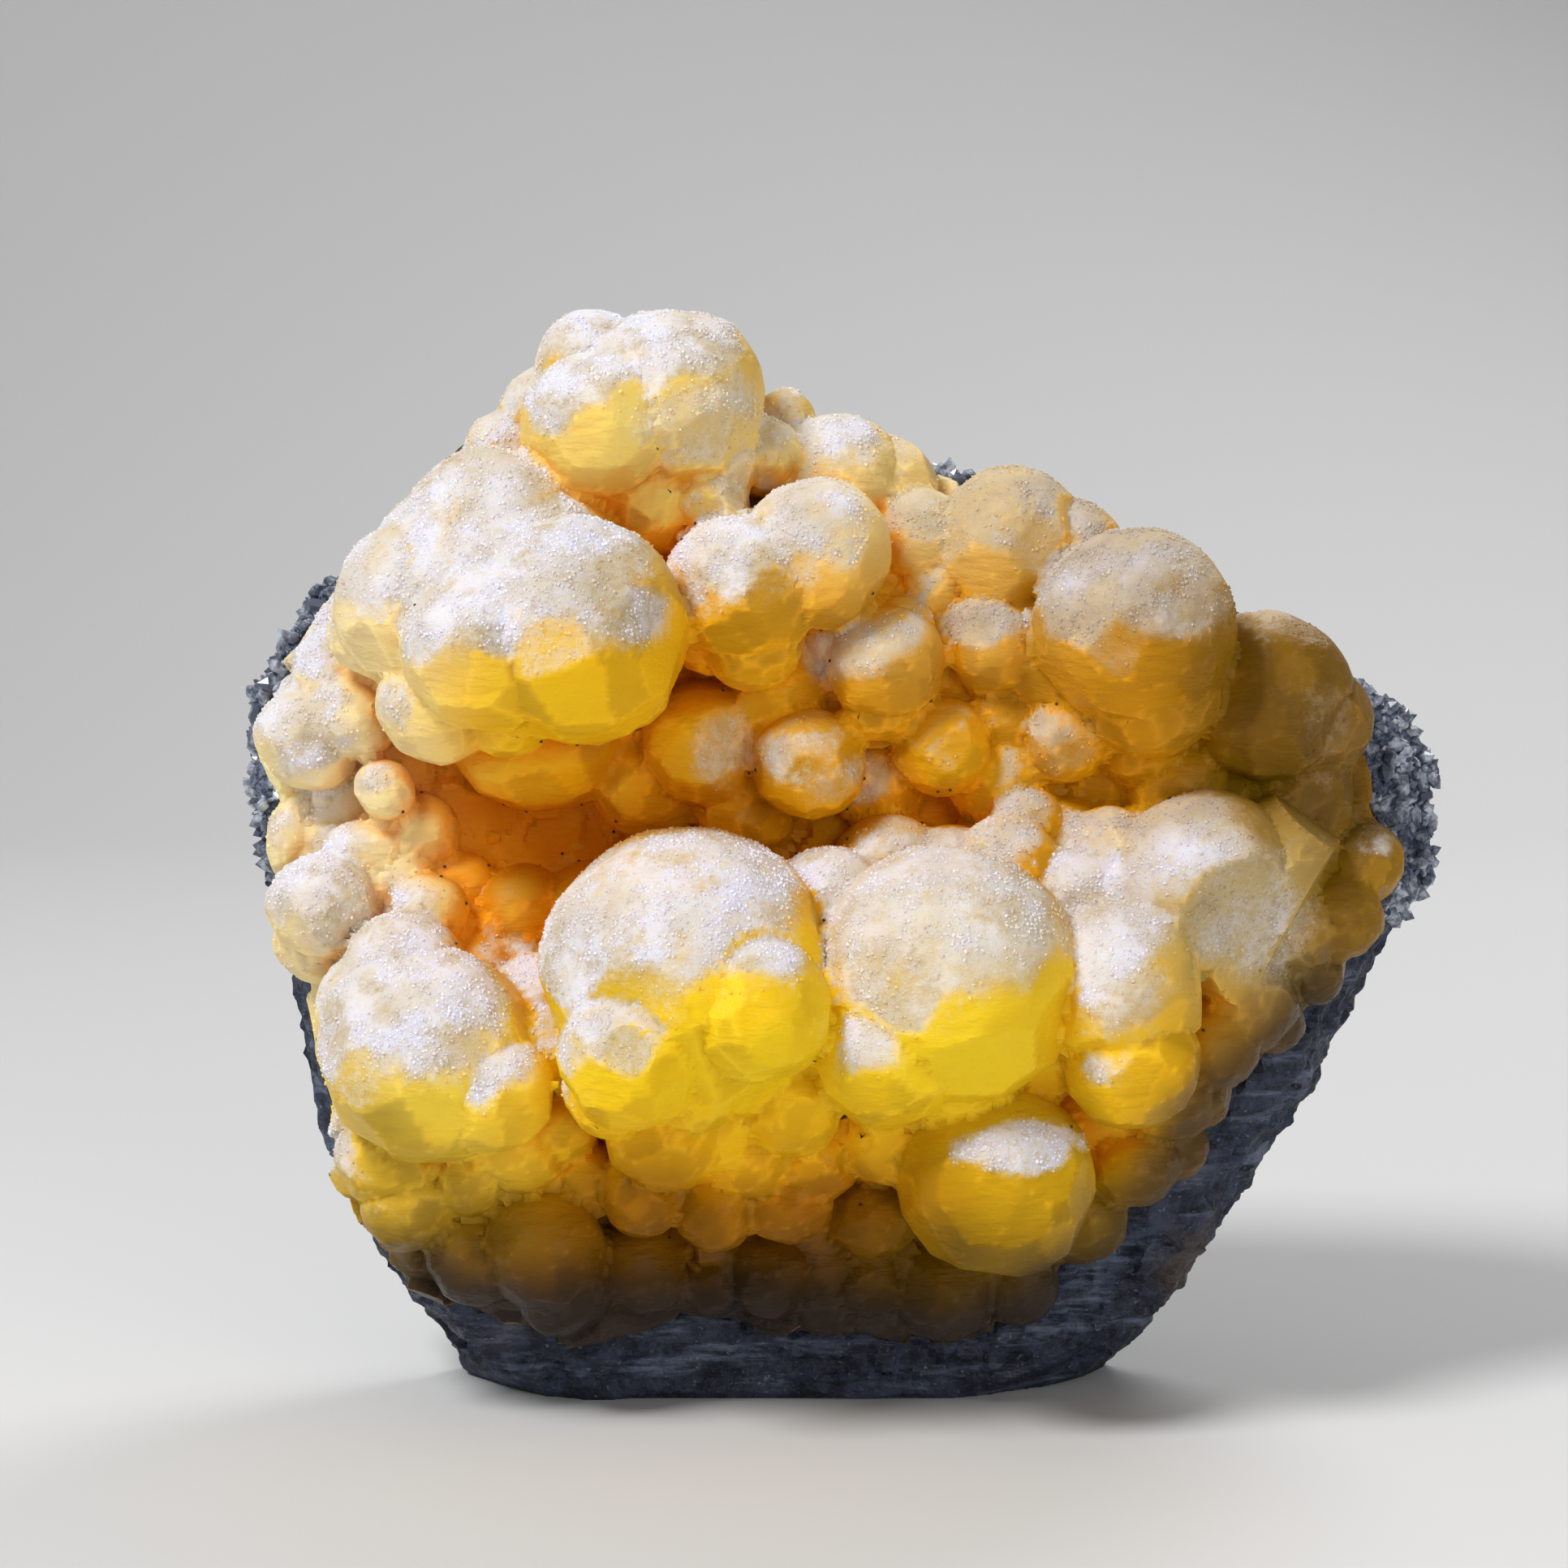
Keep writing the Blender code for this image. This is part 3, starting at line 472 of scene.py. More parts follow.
def remeshed(made, voxel):
    """Fuses everything in a mesh object into one even skin."""
    modifier = made.modifiers.new("fuse", "REMESH")
    modifier.mode = "VOXEL"
    modifier.voxel_size = voxel
    modifier.use_smooth_shade = True
    deps = bpy.context.evaluated_depsgraph_get()
    data = bpy.data.meshes.new_from_object(made.evaluated_get(deps))
    made.modifiers.clear()
    old = made.data
    made.data = data
    bpy.data.meshes.remove(old)
    return made


def store(data, name, values):
    """Keeps one number for each vertex, for the material to read."""
    data.attributes.new(name, "FLOAT", "POINT").data.foreach_set("value", flat(values))


def kept_values(data, name):
    """The numbers that store() kept."""
    return values_of(data.attributes[name].data, "value", 1)[:, 0].astype(float)


def store_colour(data, name, values):
    """Keeps one colour for each vertex, for the material to read."""
    full = np.ones((len(values), 4), np.float32)
    full[:, :3] = values
    data.attributes.new(name, "FLOAT_COLOR", "POINT").data.foreach_set("color", flat(full))


def reach(outline):
    """Angles around CENTRE and the outline's distance from it in each."""
    sideways, upward = (np.array(outline) - CENTRE).T
    angles, distances = np.arctan2(upward, sideways), np.hypot(sideways, upward)
    wanted = math.tau * (np.arange(RING_POINTS) + 0.5) / RING_POINTS - math.pi
    return wanted, np.interp(wanted, angles, distances, period=math.tau)


def bed_depth(across, up):
    """How far behind the sight plane the crust's bed lies: it swells between the spheres."""
    swell = sum(high * blob(across, up, *place) for *place, high in BED_SWELLINGS)
    *place, high = HOLLOW_PLACE
    return -high * blob(across, up, *place) - CRUST_BED - swell


def add_bed(mesh):
    """The layer between the spheres, as a closed skin."""
    angles, distances = reach(CRUST_EDGE)
    rings = []
    for share, fixed_depth in tuple((share, None) for share in BED_SHARES) + BED_RIM:
        points = []
        for angle, distance in zip(angles, distances):
            across = CENTRE[0] + share * distance * math.cos(angle)
            up = CENTRE[1] + share * distance * math.sin(angle)
            depth = bed_depth(across, up) if fixed_depth is None else fixed_depth
            points.append(mesh.verts.new(seen_at(across, up, -depth)))
        rings.append(points)
    first = mesh.verts.new(seen_at(*CENTRE, -bed_depth(*CENTRE)))
    last = mesh.verts.new(seen_at(*CENTRE, -BED_BACK))
    around = [(i, (i + 1) % RING_POINTS) for i in range(RING_POINTS)]
    for near, far in zip(rings, rings[1:]):
        for i, j in around:
            mesh.faces.new((near[i], near[j], far[j]))
            mesh.faces.new((near[i], far[j], far[i]))
    for i, j in around:
        mesh.faces.new((rings[0][j], rings[0][i], first))
        mesh.faces.new((rings[-1][i], rings[-1][j], last))
    bmesh.ops.recalc_face_normals(mesh, faces=mesh.faces)


def arrays_of(mesh):
    """Corners and triangles of a mesh that is being worked on, which is then let go."""
    mesh.verts.index_update()
    points = np.array([v.co for v in mesh.verts])
    faces = np.array([[v.index for v in f.verts] for f in mesh.faces])
    mesh.free()
    return points, faces


def ball(fineness):
    """Corners and triangles of a ball with radius 1."""
    mesh = bmesh.new()
    bmesh.ops.create_icosphere(mesh, subdivisions=fineness, radius=1.0)
    return arrays_of(mesh)


def growth_faces(number):
    """The flat growth faces of a sphere: where each faces, and how far out it lies."""
    facings, distances = [], []
    for count, highest, distance, varies in FACET_FAMILIES:
        k = np.arange(count)
        lift = FACET_LOWEST + (highest - FACET_LOWEST) * (k + 0.5) / count
        turn = FACET_TURN * (k + 3 * number)
        level = np.cos(lift)
        facings.append(np.stack((level * np.cos(turn), level * np.sin(turn), np.sin(lift)), 1))
        distances.append(distance + varies * np.sin(1.7 * number + 2.3 * k))
    return np.vstack(facings), np.concatenate(distances)


def sphere_place(number):
    """A sphere's middle, and half its width, depth and height."""
    across, up, out, radius, *stretch = SPHERES[number]
    wide, high, deep = stretch or (1.0, 1.0, 1.0)
    apparent = radius * (EYE_DISTANCE - out) / EYE_DISTANCE
    return np.array(seen_at(across, up, out)), apparent * np.array((wide, deep, high))


def block_planes(number):
    """The flat faces of the block, where the sphere is part of it."""
    faces = BLOCK_FACES if SPHERES[number] in BLOCK else ()
    return [(np.array(seen_at(*place)), unit_of(facing)) for place, facing in faces]


def sphere_points(unit, number):
    """The corners of one sphere of the crust, with its growth faces."""
    middle, half = sphere_place(number)
    facings, distances = growth_faces(number)
    share = np.minimum(1, (distances / np.maximum(unit @ facings.T, 1e-6)).min(1))
    points = unit * share[:, None] * half + middle
    for place, outward in block_planes(number):
        beyond = np.maximum((points - place) @ outward, 0)
        points = points - beyond[:, None] * outward
    return points


def depths_in(points, number):
    """How deep points lie behind each face of a sphere, and which way each face looks there."""
    middle, half = sphere_place(number)
    local = (points - middle) / half
    distance = np.linalg.norm(local, axis=1)[:, None]
    facings, distances = growth_faces(number)
    slopes = facings / half
    steepness = np.linalg.norm(slopes, axis=1)
    round_slope = local / distance / half
    round_steepness = np.linalg.norm(round_slope, axis=1)[:, None]
    depths = [(1 - distance) / round_steepness, (distances - local @ facings.T) / steepness]
    normals = [(round_slope / round_steepness)[:, None, :]]
    normals.append(np.tile(slopes / steepness[:, None], (len(points), 1, 1)))
    for place, outward in block_planes(number):
        depths.append(-((points - place) @ outward)[:, None])
        normals.append(np.tile(outward, (len(points), 1, 1)))
    return np.hstack(depths), np.concatenate(normals, 1)


def to_both(first_depth, first_normal, second_depth, second_normal):
    """The step that takes each point to where two faces meet."""
    cosine = (first_normal * second_normal).sum(1)
    spread = np.maximum(1 - cosine ** 2, 1e-6)
    first = (first_depth - cosine * second_depth) / spread
    second = (second_depth - cosine * first_depth) / spread
    step = first[:, None] * first_normal + second[:, None] * second_normal
    step[spread < NEARLY_PARALLEL] = FAR
    return step


def sharpened(points):
    """Puts the skin's points back on the growth faces, and those near an edge on the edge.

    Also gives a tone for the face that each point is on, whether it is on an outer edge, and
    whether it is on the bed instead.
    """
    count = len(points)
    own, second, other = (np.full(count, -FAR) for _ in range(3))
    own_way, second_way, other_way = (np.zeros((count, 3)) for _ in range(3))
    tone = np.zeros(count)
    for number in range(len(SPHERES)):
        middle, half = sphere_place(number)
        near = np.flatnonzero((((points - middle) / half) ** 2).sum(1) < NEAR_SPHERE)
        depths, ways = depths_in(points[near], number)
        first, after = np.argsort(depths, axis=1)[:, :2].T
        row = np.arange(len(near))
        lowest, way = depths[row, first], ways[row, first]
        owns = lowest > own[near]
        beside = ~owns & (lowest > other[near])
        mine = near[owns]
        other[mine], other_way[mine] = own[mine], own_way[mine]
        other[near[beside]], other_way[near[beside]] = lowest[beside], way[beside]
        own[mine], own_way[mine] = lowest[owns], way[owns]
        second[mine], second_way[mine] = depths[row, after][owns], ways[row, after][owns]
        tone[mine] = 2 * hashed(first[owns], number, 0, 71) - 1
    step = np.clip(own, -EDGE_SNAP, EDGE_SNAP)[:, None] * own_way
    reached = np.full(count, EDGE_SNAP)
    edge = np.zeros(count)
    for depth, way, is_outer in ((second, second_way, 1.0), (other, other_way, 0.0)):
        meeting = to_both(own, own_way, depth, way)
        length = np.linalg.norm(meeting, axis=1)
        closer = length < reached * (1.0 if is_outer else CREASE_SHARE)
        step[closer] = meeting[closer]
        reached[closer] = length[closer]
        edge[closer] = is_outer
    bed = own < -EDGE_SNAP
    step[bed] = 0.0
    return points + step, tone, edge, bed


def crust_surface():
    """The crust's fine skin: its bed and its spheres, fused and slightly uneven."""
    mesh = bmesh.new()
    add_bed(mesh)
    points, faces = ([array] for array in arrays_of(mesh))
    count = len(points[0])
    balls = [ball(fineness) for fineness in SPHERE_FINENESS]
    for number, row in enumerate(SPHERES):
        unit, around = balls[row[3] > FINE_SPHERE_RADIUS]
        points.append(sphere_points(unit, number))
        faces.append(around + count)
        count += len(unit)
    made = of_triangles("fluorite_surface", np.vstack(points), np.vstack(faces))
    made = remeshed(made, CRUST_VOXEL)
    points, tone, edge, bed = sharpened(vertex_array(made.data))
    for name, values in (("bed", bed), ("tone", tone), ("edge", edge)):
        store(made.data, name, values)
    set_vertices(made.data, np.array([warped(Vector(p)) for p in points]))
    return made


def drop_hidden(made, hidden):
    """Removes the faces whose corners are all hidden inside the other piece."""
    mesh = bmesh.new()
    mesh.from_mesh(made.data)
    doomed = [f for f in mesh.faces if all(hidden[v.index] for v in f.verts)]
    bmesh.ops.delete(mesh, geom=doomed, context="FACES")
    loose = [v for v in mesh.verts if not v.link_faces]
    bmesh.ops.delete(mesh, geom=loose, context="VERTS")
    mesh.to_mesh(made.data)
    mesh.free()


def quartz_surface():
    """The matrix's fine skin, worked from the CAD solid's own shape."""
    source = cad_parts["quartz_matrix"]
    mesh = bmesh.new()
    mesh.from_mesh(source.data)
    bmesh.ops.scale(mesh, vec=(1 / MM,) * 3, verts=mesh.verts)
    bmesh.ops.translate(mesh, vec=-Vector(STANDING_SHIFT), verts=mesh.verts)
    return remeshed(object_of("quartz_surface", mesh), QUARTZ_VOXEL)


def inside(points, made, depth):
    """Whether each point lies deeper than that inside a closed mesh object."""
    tree = BVHTree.FromObject(made, bpy.context.evaluated_depsgraph_get())
    result = np.zeros(len(points), bool)
    for i, point in enumerate(points):
        place, normal, _, distance = tree.find_nearest(Vector(point))
        result[i] = distance > depth and (Vector(point) - place).dot(normal) < 0
    return result


def finish_piece(made):
    """Moves a finished surface to its place in the frame, in metres, inside the solid's box."""
    points = (vertex_array(made.data) + np.array(STANDING_SHIFT)) * MM
    low, high = (np.array(corner) for corner in CAD_BOX)
    set_vertices(made.data, np.clip(points, low, high))


class Look:
    """What each vertex of the crust shows: how much frost, which is partly painted light, how deep
    in a recess, which colour.
    """

    def __init__(self, data, blockers):
        points, normals = vertex_array(data), normal_array(data)
        self.points = points
        self.tone, self.edge = kept_values(data, "tone"), kept_values(data, "edge")
        self.across, self.up = seen_place(points)
        self.recess = 1 - smooth(0.12, 0.78, open_share(points, normals, blockers, *CRUST_LOOKS))
        # How open each point is towards the light: painted light on the frost, and painted shadow
        # where it is hidden.
        lit_and_dusted = sum(open_from(points, blockers, way, CRUST_LOOKS[1]) for way in DUST_AND_LIGHT_WAYS)
        lit_and_dusted /= len(DUST_AND_LIGHT_WAYS)
        self.cover = self.frost_cover(normals @ unit_of(FROST_AND_LIGHT_FACING), lit_and_dusted)
        mottled = self.cover * np.clip(0.82 + 0.40 * layered(points, 2.3, 3, 17), 0, 1)
        # A painted pool of light on the frost of the lowest large sphere.
        window = self.near(*LIT_FROST_PATCH) + 0.16 * layered(points, 3.0, 2, 15)
        in_front = smooth(-12, -18, points[:, 1])
        self.frost = np.maximum(mottled, 0.85 * smooth(0.35, 0.62, window) * in_front)
        self.hue = self.body_hue()
        self.pale = self.frost_hue()

    def near(self, *place):
        """How near each vertex is to a place: middle across and up, reach across and up."""
        return blob(self.across, self.up, *place)

    def frost_cover(self, facing, lit_and_dusted):
        """How thick the frost lies, partly painted light: where it faces upward to the light and
        is open to it, and on its places.
        """
        patch = layered(self.points, 9.0, 3, 5)
        behind = smooth(-17, -10, self.points[:, 1])
        # Painted shade: no frost in the deep hollow at the left.
        missing = behind * smooth(0.1, 0.5, self.near(*SHADED_HOLLOW))
        for *place, share in FROST_THIN:
            missing = np.maximum(missing, share * smooth(0.15, 0.6, self.near(*place)))
        settled_and_lit = smooth(0.05, 0.86, facing + 0.16 * patch)
        cover = settled_and_lit * smooth(0.15, 0.9, lit_and_dusted + 0.1 * patch) * (1 - missing)
        for *place, share in FROST_MORE:
            here = smooth(0.25, 0.9, self.near(*place) + 0.25 * patch) * smooth(-0.75, 0.1, facing)
            cover = np.maximum(cover, share * here)
        return cover

    def body_hue(self):
        """The clear fluorite's colour under the frost, with painted shade in its recesses and at
        its lower edge, and painted highlights on its edges.
        """
        total = np.full(len(self.points), 0.35)
        hue = total[:, None] * np.array(CLEAR)
        bent = self.points + 2.5 * np.stack(
            [drift(self.points, 9.0, 31 + k) for k in range(3)], 1
        )
        across, up = seen_place(bent)
        for *place, weight, tint in BODY_AND_SHADE_TINTS:
            share = weight * blob(across, up, *place)
            hue += share[:, None] * np.array(tint)
            total += share
        hue /= total[:, None]
        # Painted shade in the recesses, weaker on the left side.
        deep = smooth(0.3, 0.95, self.recess) * smooth(-22, -12, self.points[:, 1])
        deep *= 1 - 0.6 * self.near(*WEAK_SHADE_SIDE)
        hue = mixed(hue, np.minimum(hue, RECESS_SHADE), deep * 0.9)
        # Painted shade along the lower and lower right edge.
        hue = mixed(hue, EDGE_SHADE_COLOUR, 0.85 * self.lower_edge_shade())
        hue = mixed(hue, UNDER_FROST, 0.9 * smooth(0.25, 0.8, self.cover))
        wave = layered(self.points, 5.0, 3, 51)
        hue *= np.exp(0.17 * self.tone + 0.12 * wave)[:, None]
        # Painted highlight: lighter lines along the growth faces' outer edges.
        hue = mixed(hue, 1.35 * hue + 0.008, 0.6 * self.edge)
        return hue / np.maximum(hue.max(1), 1)[:, None]

    def lower_edge_shade(self):
        """Painted shade: darker towards the crust's lower and lower right edge, where it meets the
        dark matrix.
        """
        angles, distances = reach(CRUST_EDGE)
        sideways, upward = self.across - CENTRE[0], self.up - CENTRE[1]
        edge = np.interp(np.arctan2(upward, sideways), angles, distances, period=math.tau)
        share = np.hypot(sideways, upward) / edge + 0.035 * layered(self.points, 6.0, 3, 41)
        below = smooth(-24, -36, upward)
        lower_right = smooth(16, 32, sideways) * smooth(2, -13, upward)
        return smooth(0.84, 1.0, share) * np.maximum(below, lower_right)

    def frost_hue(self):
        """The frost's colour: white and lilac at the left, cream and tan at the right, the tan
        partly painted shade.
        """
        # Painted shade: the frost turns tan towards the less lit right and on the block.
        less_lit_right = smooth(-12, 22, self.across) * smooth(44, 60, self.up)
        less_lit_right = np.maximum(less_lit_right, 0.6 * self.near(*BLOCK_PLACE))
        creamy = np.maximum(*(self.near(*place) for place in CREAMY_PLACES))
        wander = layered(self.points, 4.0, 3, 61)
        share = 0.15 + 0.35 * less_lit_right + 0.5 * creamy + 0.45 * wander
        pale = mixed(LILAC, CREAM, np.clip(share, 0, 1))
        pale = mixed(pale, TAN, np.clip(0.05 + 0.65 * less_lit_right + 0.30 * wander, 0, 0.9))
        thin = 0.75 * np.sqrt(self.hue * pale) + 0.25 * pale
        return mixed(thin, pale, smooth(0.25, 0.85, self.frost))

    def keep(self, data):
        """Stores what the material reads."""
        store(data, "frost", self.frost)
        store_colour(data, "hue", self.hue)
        store_colour(data, "pale", self.pale)


def carve_crust(made, look):
    """Makes the frosted sides grainy, the clear ones slightly uneven, and the bed faceted."""
    data = made.data
    points, normals = vertex_array(data), normal_array(data)
    clear = 1 - smooth(0.10, 0.55, look.frost)
    push = clear * 0.03 * layered(points * np.array((0.7, 0.7, 1.4)), 2.0, 2, 260)
    grainy = drift(points, 1.2, 240) * 0.15 + drift(points, 2.6, 250) * 0.18
    push += (1 - clear) * grainy
    steps = facet_mosaic(points, 4.5, 200)
    push += kept_values(data, "bed") * (0.30 * steps - 0.25)
    set_vertices(data, points + normals * push[:, None])


def turned(count, salt):
    """Random turns, as one matrix for each of a number of small crystals."""
    parts = [odds(count, k, salt) for k in range(3)]
    root_one, root_two = np.sqrt(1 - parts[0]), np.sqrt(parts[0])
    a, b = math.tau * parts[1], math.tau * parts[2]
    x, y = root_one * np.sin(a), root_one * np.cos(a)
    z, w = root_two * np.sin(b), root_two * np.cos(b)
    rows = (
        (1 - 2 * (y * y + z * z), 2 * (x * y - z * w), 2 * (x * z + y * w)),
        (2 * (x * y + z * w), 1 - 2 * (x * x + z * z), 2 * (y * z - x * w)),
        (2 * (x * z - y * w), 2 * (y * z + x * w), 1 - 2 * (x * x + y * y)),
    )
    return np.moveaxis(np.array(rows), 2, 0)


def scattered(data, weights, count, salt):
    """Points spread over a surface where the weights are high, with their nearest vertices."""
    points = vertex_array(data)
    triangles = triangle_array(data)
    a, b, c = (points[triangles[:, k]] for k in range(3))
    area = np.linalg.norm(np.cross(b - a, c - a), axis=1) / 2
    share = np.cumsum(area * weights[triangles].mean(1))
    pick = (np.arange(count) + odds(count, 0, salt)) / count * share[-1]
    chosen = np.searchsorted(share, pick).clip(0, len(triangles) - 1)
    u = np.sqrt(odds(count, 1, salt))
    v = odds(count, 2, salt)
    spots = (1 - u)[:, None] * a[chosen] + (u * (1 - v))[:, None] * b[chosen]
    spots += (u * v)[:, None] * c[chosen]
    return spots, triangles[chosen, 0]


def copies(name, shape_points, shape_faces, middles, turns, sizes):
    """Many copies of a small shape in one mesh, each turned, sized and placed."""
    placed = np.einsum("nij,kj->nki", turns, shape_points) * sizes[:, None, None]
    placed += middles[:, None, :]
    starts = np.arange(len(middles))[:, None, None] * len(shape_points)
    faces = (shape_faces[None] + starts).reshape(-1, 3)
    return of_triangles(name, placed.reshape(-1, 3), faces)


OCTAHEDRON = (
    np.array(((1, 0, 0), (-1, 0, 0), (0, 1, 0), (0, -1, 0), (0, 0, 1), (0, 0, -1)), float),
    np.array(((0, 2, 4), (2, 1, 4), (1, 3, 4), (3, 0, 4),
              (2, 0, 5), (1, 2, 5), (3, 1, 5), (0, 3, 5))),
)


def prism_crystal():
    """A six-sided crystal with a pointed tip, a unit wide, rooted a little below its middle."""
    ring = [(0.5 * math.cos(math.tau * k / 6), 0.5 * math.sin(math.tau * k / 6)) for k in range(6)]
    points = [(x, y, -0.7) for x, y in ring] + [(x, y, 0.5) for x, y in ring] + [(0, 0, 1.1)]
    faces = []
    for k in range(6):
        after = (k + 1) % 6
        faces += [(k, after, after + 6), (k, after + 6, k + 6), (k + 6, after + 6, 12)]
    faces += [(0, k + 1, k) for k in range(1, 5)]
    return np.array(points, float), np.array(faces)


def frost_grains(made, look):
    """The fine crystals that frost the crust, and a few dark specks between its spheres."""
    data = made.data
    normals = normal_array(data)
    clumped = smooth(-0.5, 0.5, layered(look.points, 1.6, 2, 321))
    weights = smooth(0.10, 0.85, look.frost) * clumped
    spots, nearest = scattered(data, weights, GRAINS, 301)
    sizes = 0.11 + 0.15 * odds(GRAINS, 7, 303) ** 2
    middles = spots - normals[nearest] * 0.02
    bright = 0.90 + 0.25 * odds(GRAINS, 8, 303)
    tint = mixed(look.hue[nearest], look.pale[nearest], smooth(0.15, 0.75, look.frost[nearest]))
    tint *= bright[:, None]

    crease = look.recess * smooth(0.45, 0.8, look.recess) * smooth(8, 16, look.up)
    crease *= smooth(0.35, 0.6, layered(look.points, 8.0, 2, 91) + 0.5)
    dark_spots, dark_nearest = scattered(data, crease, DARK_SPECKS, 311)
    middles = np.vstack((middles, dark_spots + normals[dark_nearest] * 0.03))
    sizes = np.concatenate((sizes, np.full(DARK_SPECKS, 0.20)))
    tint = np.vstack((tint, np.tile(SPECK, (DARK_SPECKS, 1))))
    grains = copies("frost_grains", *OCTAHEDRON, middles, turned(len(middles), 305), sizes)
    store_colour(grains.data, "hue", np.repeat(np.clip(tint, 0, 1), 6, axis=0))
    return grains


def rim_crystals(made, druse):
    """The small quartz crystals that stand on the matrix's pale rim."""
    data = made.data
    normals = normal_array(data)
    clustered = 0.25 + smooth(-0.35, 0.25, layered(vertex_array(data), 3.0, 2, 411))
    spots, nearest = scattered(data, smooth(0.15, 0.7, druse) * clustered, RIM_CRYSTALS, 401)
    sizes = 0.40 + 1.15 * odds(RIM_CRYSTALS, 7, 403) ** 3
    lean = turned(RIM_CRYSTALS, 405)[:, :, 2]
    away = normals[nearest] + 0.9 * lean
    away /= np.linalg.norm(away, axis=1)[:, None]
    side = np.cross(away, turned(RIM_CRYSTALS, 407)[:, :, 0])
    side /= np.linalg.norm(side, axis=1)[:, None]
    turns = np.stack((side, np.cross(away, side), away), 2)
    return copies("rim_crystals", *prism_crystal(), spots, turns, sizes)


class Shader:
    """A material and the nodes that feed its surface."""

    def __init__(self, name):
        self.material = bpy.data.materials.new(name)
        self.material.use_nodes = True
        self.tree = self.material.node_tree
        self.surface = self.tree.nodes["Principled BSDF"]
        self.place = self.add("ShaderNodeTexCoord").outputs["Object"]

    def add(self, kind, **settings):
        node = self.tree.nodes.new(kind)
        for name, value in settings.items():
            setattr(node, name, value)
        return node

    def put(self, target, value):
        """Gives an input a value, or links it to the output that gives it."""
        if isinstance(value, bpy.types.NodeSocket):
            self.tree.links.new(value, target)
        else:
            target.default_value = value

    def fill(self, node, **values):
        """Gives a node's inputs their values, by name."""
        for name, value in values.items():
            self.put(node.inputs[name.replace("_", " ")], value)

    def set(self, **values):
        self.fill(self.surface, **values)

    def kept(self, name, output="Fac"):
        """What is kept at each vertex under that name."""
        return self.add("ShaderNodeAttribute", attribute_name=name).outputs[output]

    def math(self, operation, first, second):
        node = self.add("ShaderNodeMath", operation=operation)
        for socket, value in zip(node.inputs, (first, second)):
            self.put(socket, value)
        return node.outputs[0]

    def step(self, value, low, high, to_low=0.0, to_high=1.0):
        """Rises smoothly from one number at low to another at high."""
        node = self.add("ShaderNodeMapRange", interpolation_type="SMOOTHSTEP")
        self.fill(node, Value=value, From_Min=low, From_Max=high, To_Min=to_low, To_Max=to_high)
        return node.outputs["Result"]

    def mix(self, share, first, second):
        """A colour between two others."""
        node = self.add("ShaderNodeMix", data_type="RGBA")
        self.fill(node, Factor=share)
        self.put(node.inputs[MIX_FIRST], first)
        self.put(node.inputs[MIX_SECOND], second)
        return node.outputs[MIX_RESULT]

    def noise(self, size_mm, detail, rough, stretch=None):
        """Noise with spots of about that size, with finer noise in it."""
        place = self.place
        if stretch:
            mapping = self.add("ShaderNodeMapping")
            self.fill(mapping, Vector=place, Scale=stretch)
            place = mapping.outputs["Vector"]
        node = self.add("ShaderNodeTexNoise")
        self.fill(node, Vector=place, Scale=1 / MM / size_mm, Detail=detail, Roughness=rough)
        return node.outputs["Fac"]

    def bump(self, height, depth_mm, strength):
        node = self.add("ShaderNodeBump")
        self.fill(node, Height=height, Distance=depth_mm * MM, Strength=strength)
        self.set(Normal=node.outputs["Normal"])


def fluorite_material():
    """Clear below and frosted above, the frost partly painted light, with an uneven edge between
    the two.
    """
    s = Shader("fluorite")
    frost = s.kept("frost")
    colour = s.kept("hue", "Color"), s.kept("pale", "Color")
    fine = s.noise(0.8, 4.0, 0.8)
    edge = s.math("ADD", frost, s.math("MULTIPLY", s.math("SUBTRACT", fine, 0.5), 2.2))
    mask = s.math("MULTIPLY", s.step(edge, 0.0, 1.0, 0.0, 0.95), s.step(frost, 0.02, 0.35))
    s.surface.subsurface_method = "RANDOM_WALK"
    s.set(Base_Color=s.mix(mask, *colour), Roughness=s.step(frost, 0.0, 0.6, 0.28, 0.62),
          IOR=FLUORITE_IOR, Specular_IOR_Level=0.10, Subsurface_Weight=0.5,
          Subsurface_Radius=(1.0, 0.6, 0.05), Subsurface_Scale=2 * MM)
    ripple = s.noise(1.8, 3.0, 0.6, (0.6, 0.6, 1.6))
    relief = s.math("MULTIPLY", fine, s.step(frost, 0.0, 0.6, 0.25, 1.0))
    ripple = s.math("MULTIPLY", ripple, s.step(frost, 0.0, 0.6, 1.3, 0.3))
    s.bump(s.math("ADD", relief, ripple), 0.30, 0.85)
    return s.material


def grain_material():
    """Each grain has its own colour, from the frost that it lies on."""
    s = Shader("frost grains")
    s.set(Base_Color=s.kept("hue", "Color"), Roughness=0.45, IOR=FLUORITE_IOR)
    return s.material


def rim_material():
    """Grey and whitish, changing from one cluster of crystals to the next."""
    s = Shader("rim quartz")
    tone = s.noise(2.2, 3.0, 0.7)
    colour = s.mix(s.step(tone, 0.42, 0.68), (0.075, 0.09, 0.13, 1), (0.50, 0.54, 0.62, 1))
    s.set(Base_Color=colour, Roughness=0.22, IOR=QUARTZ_IOR)
    return s.material


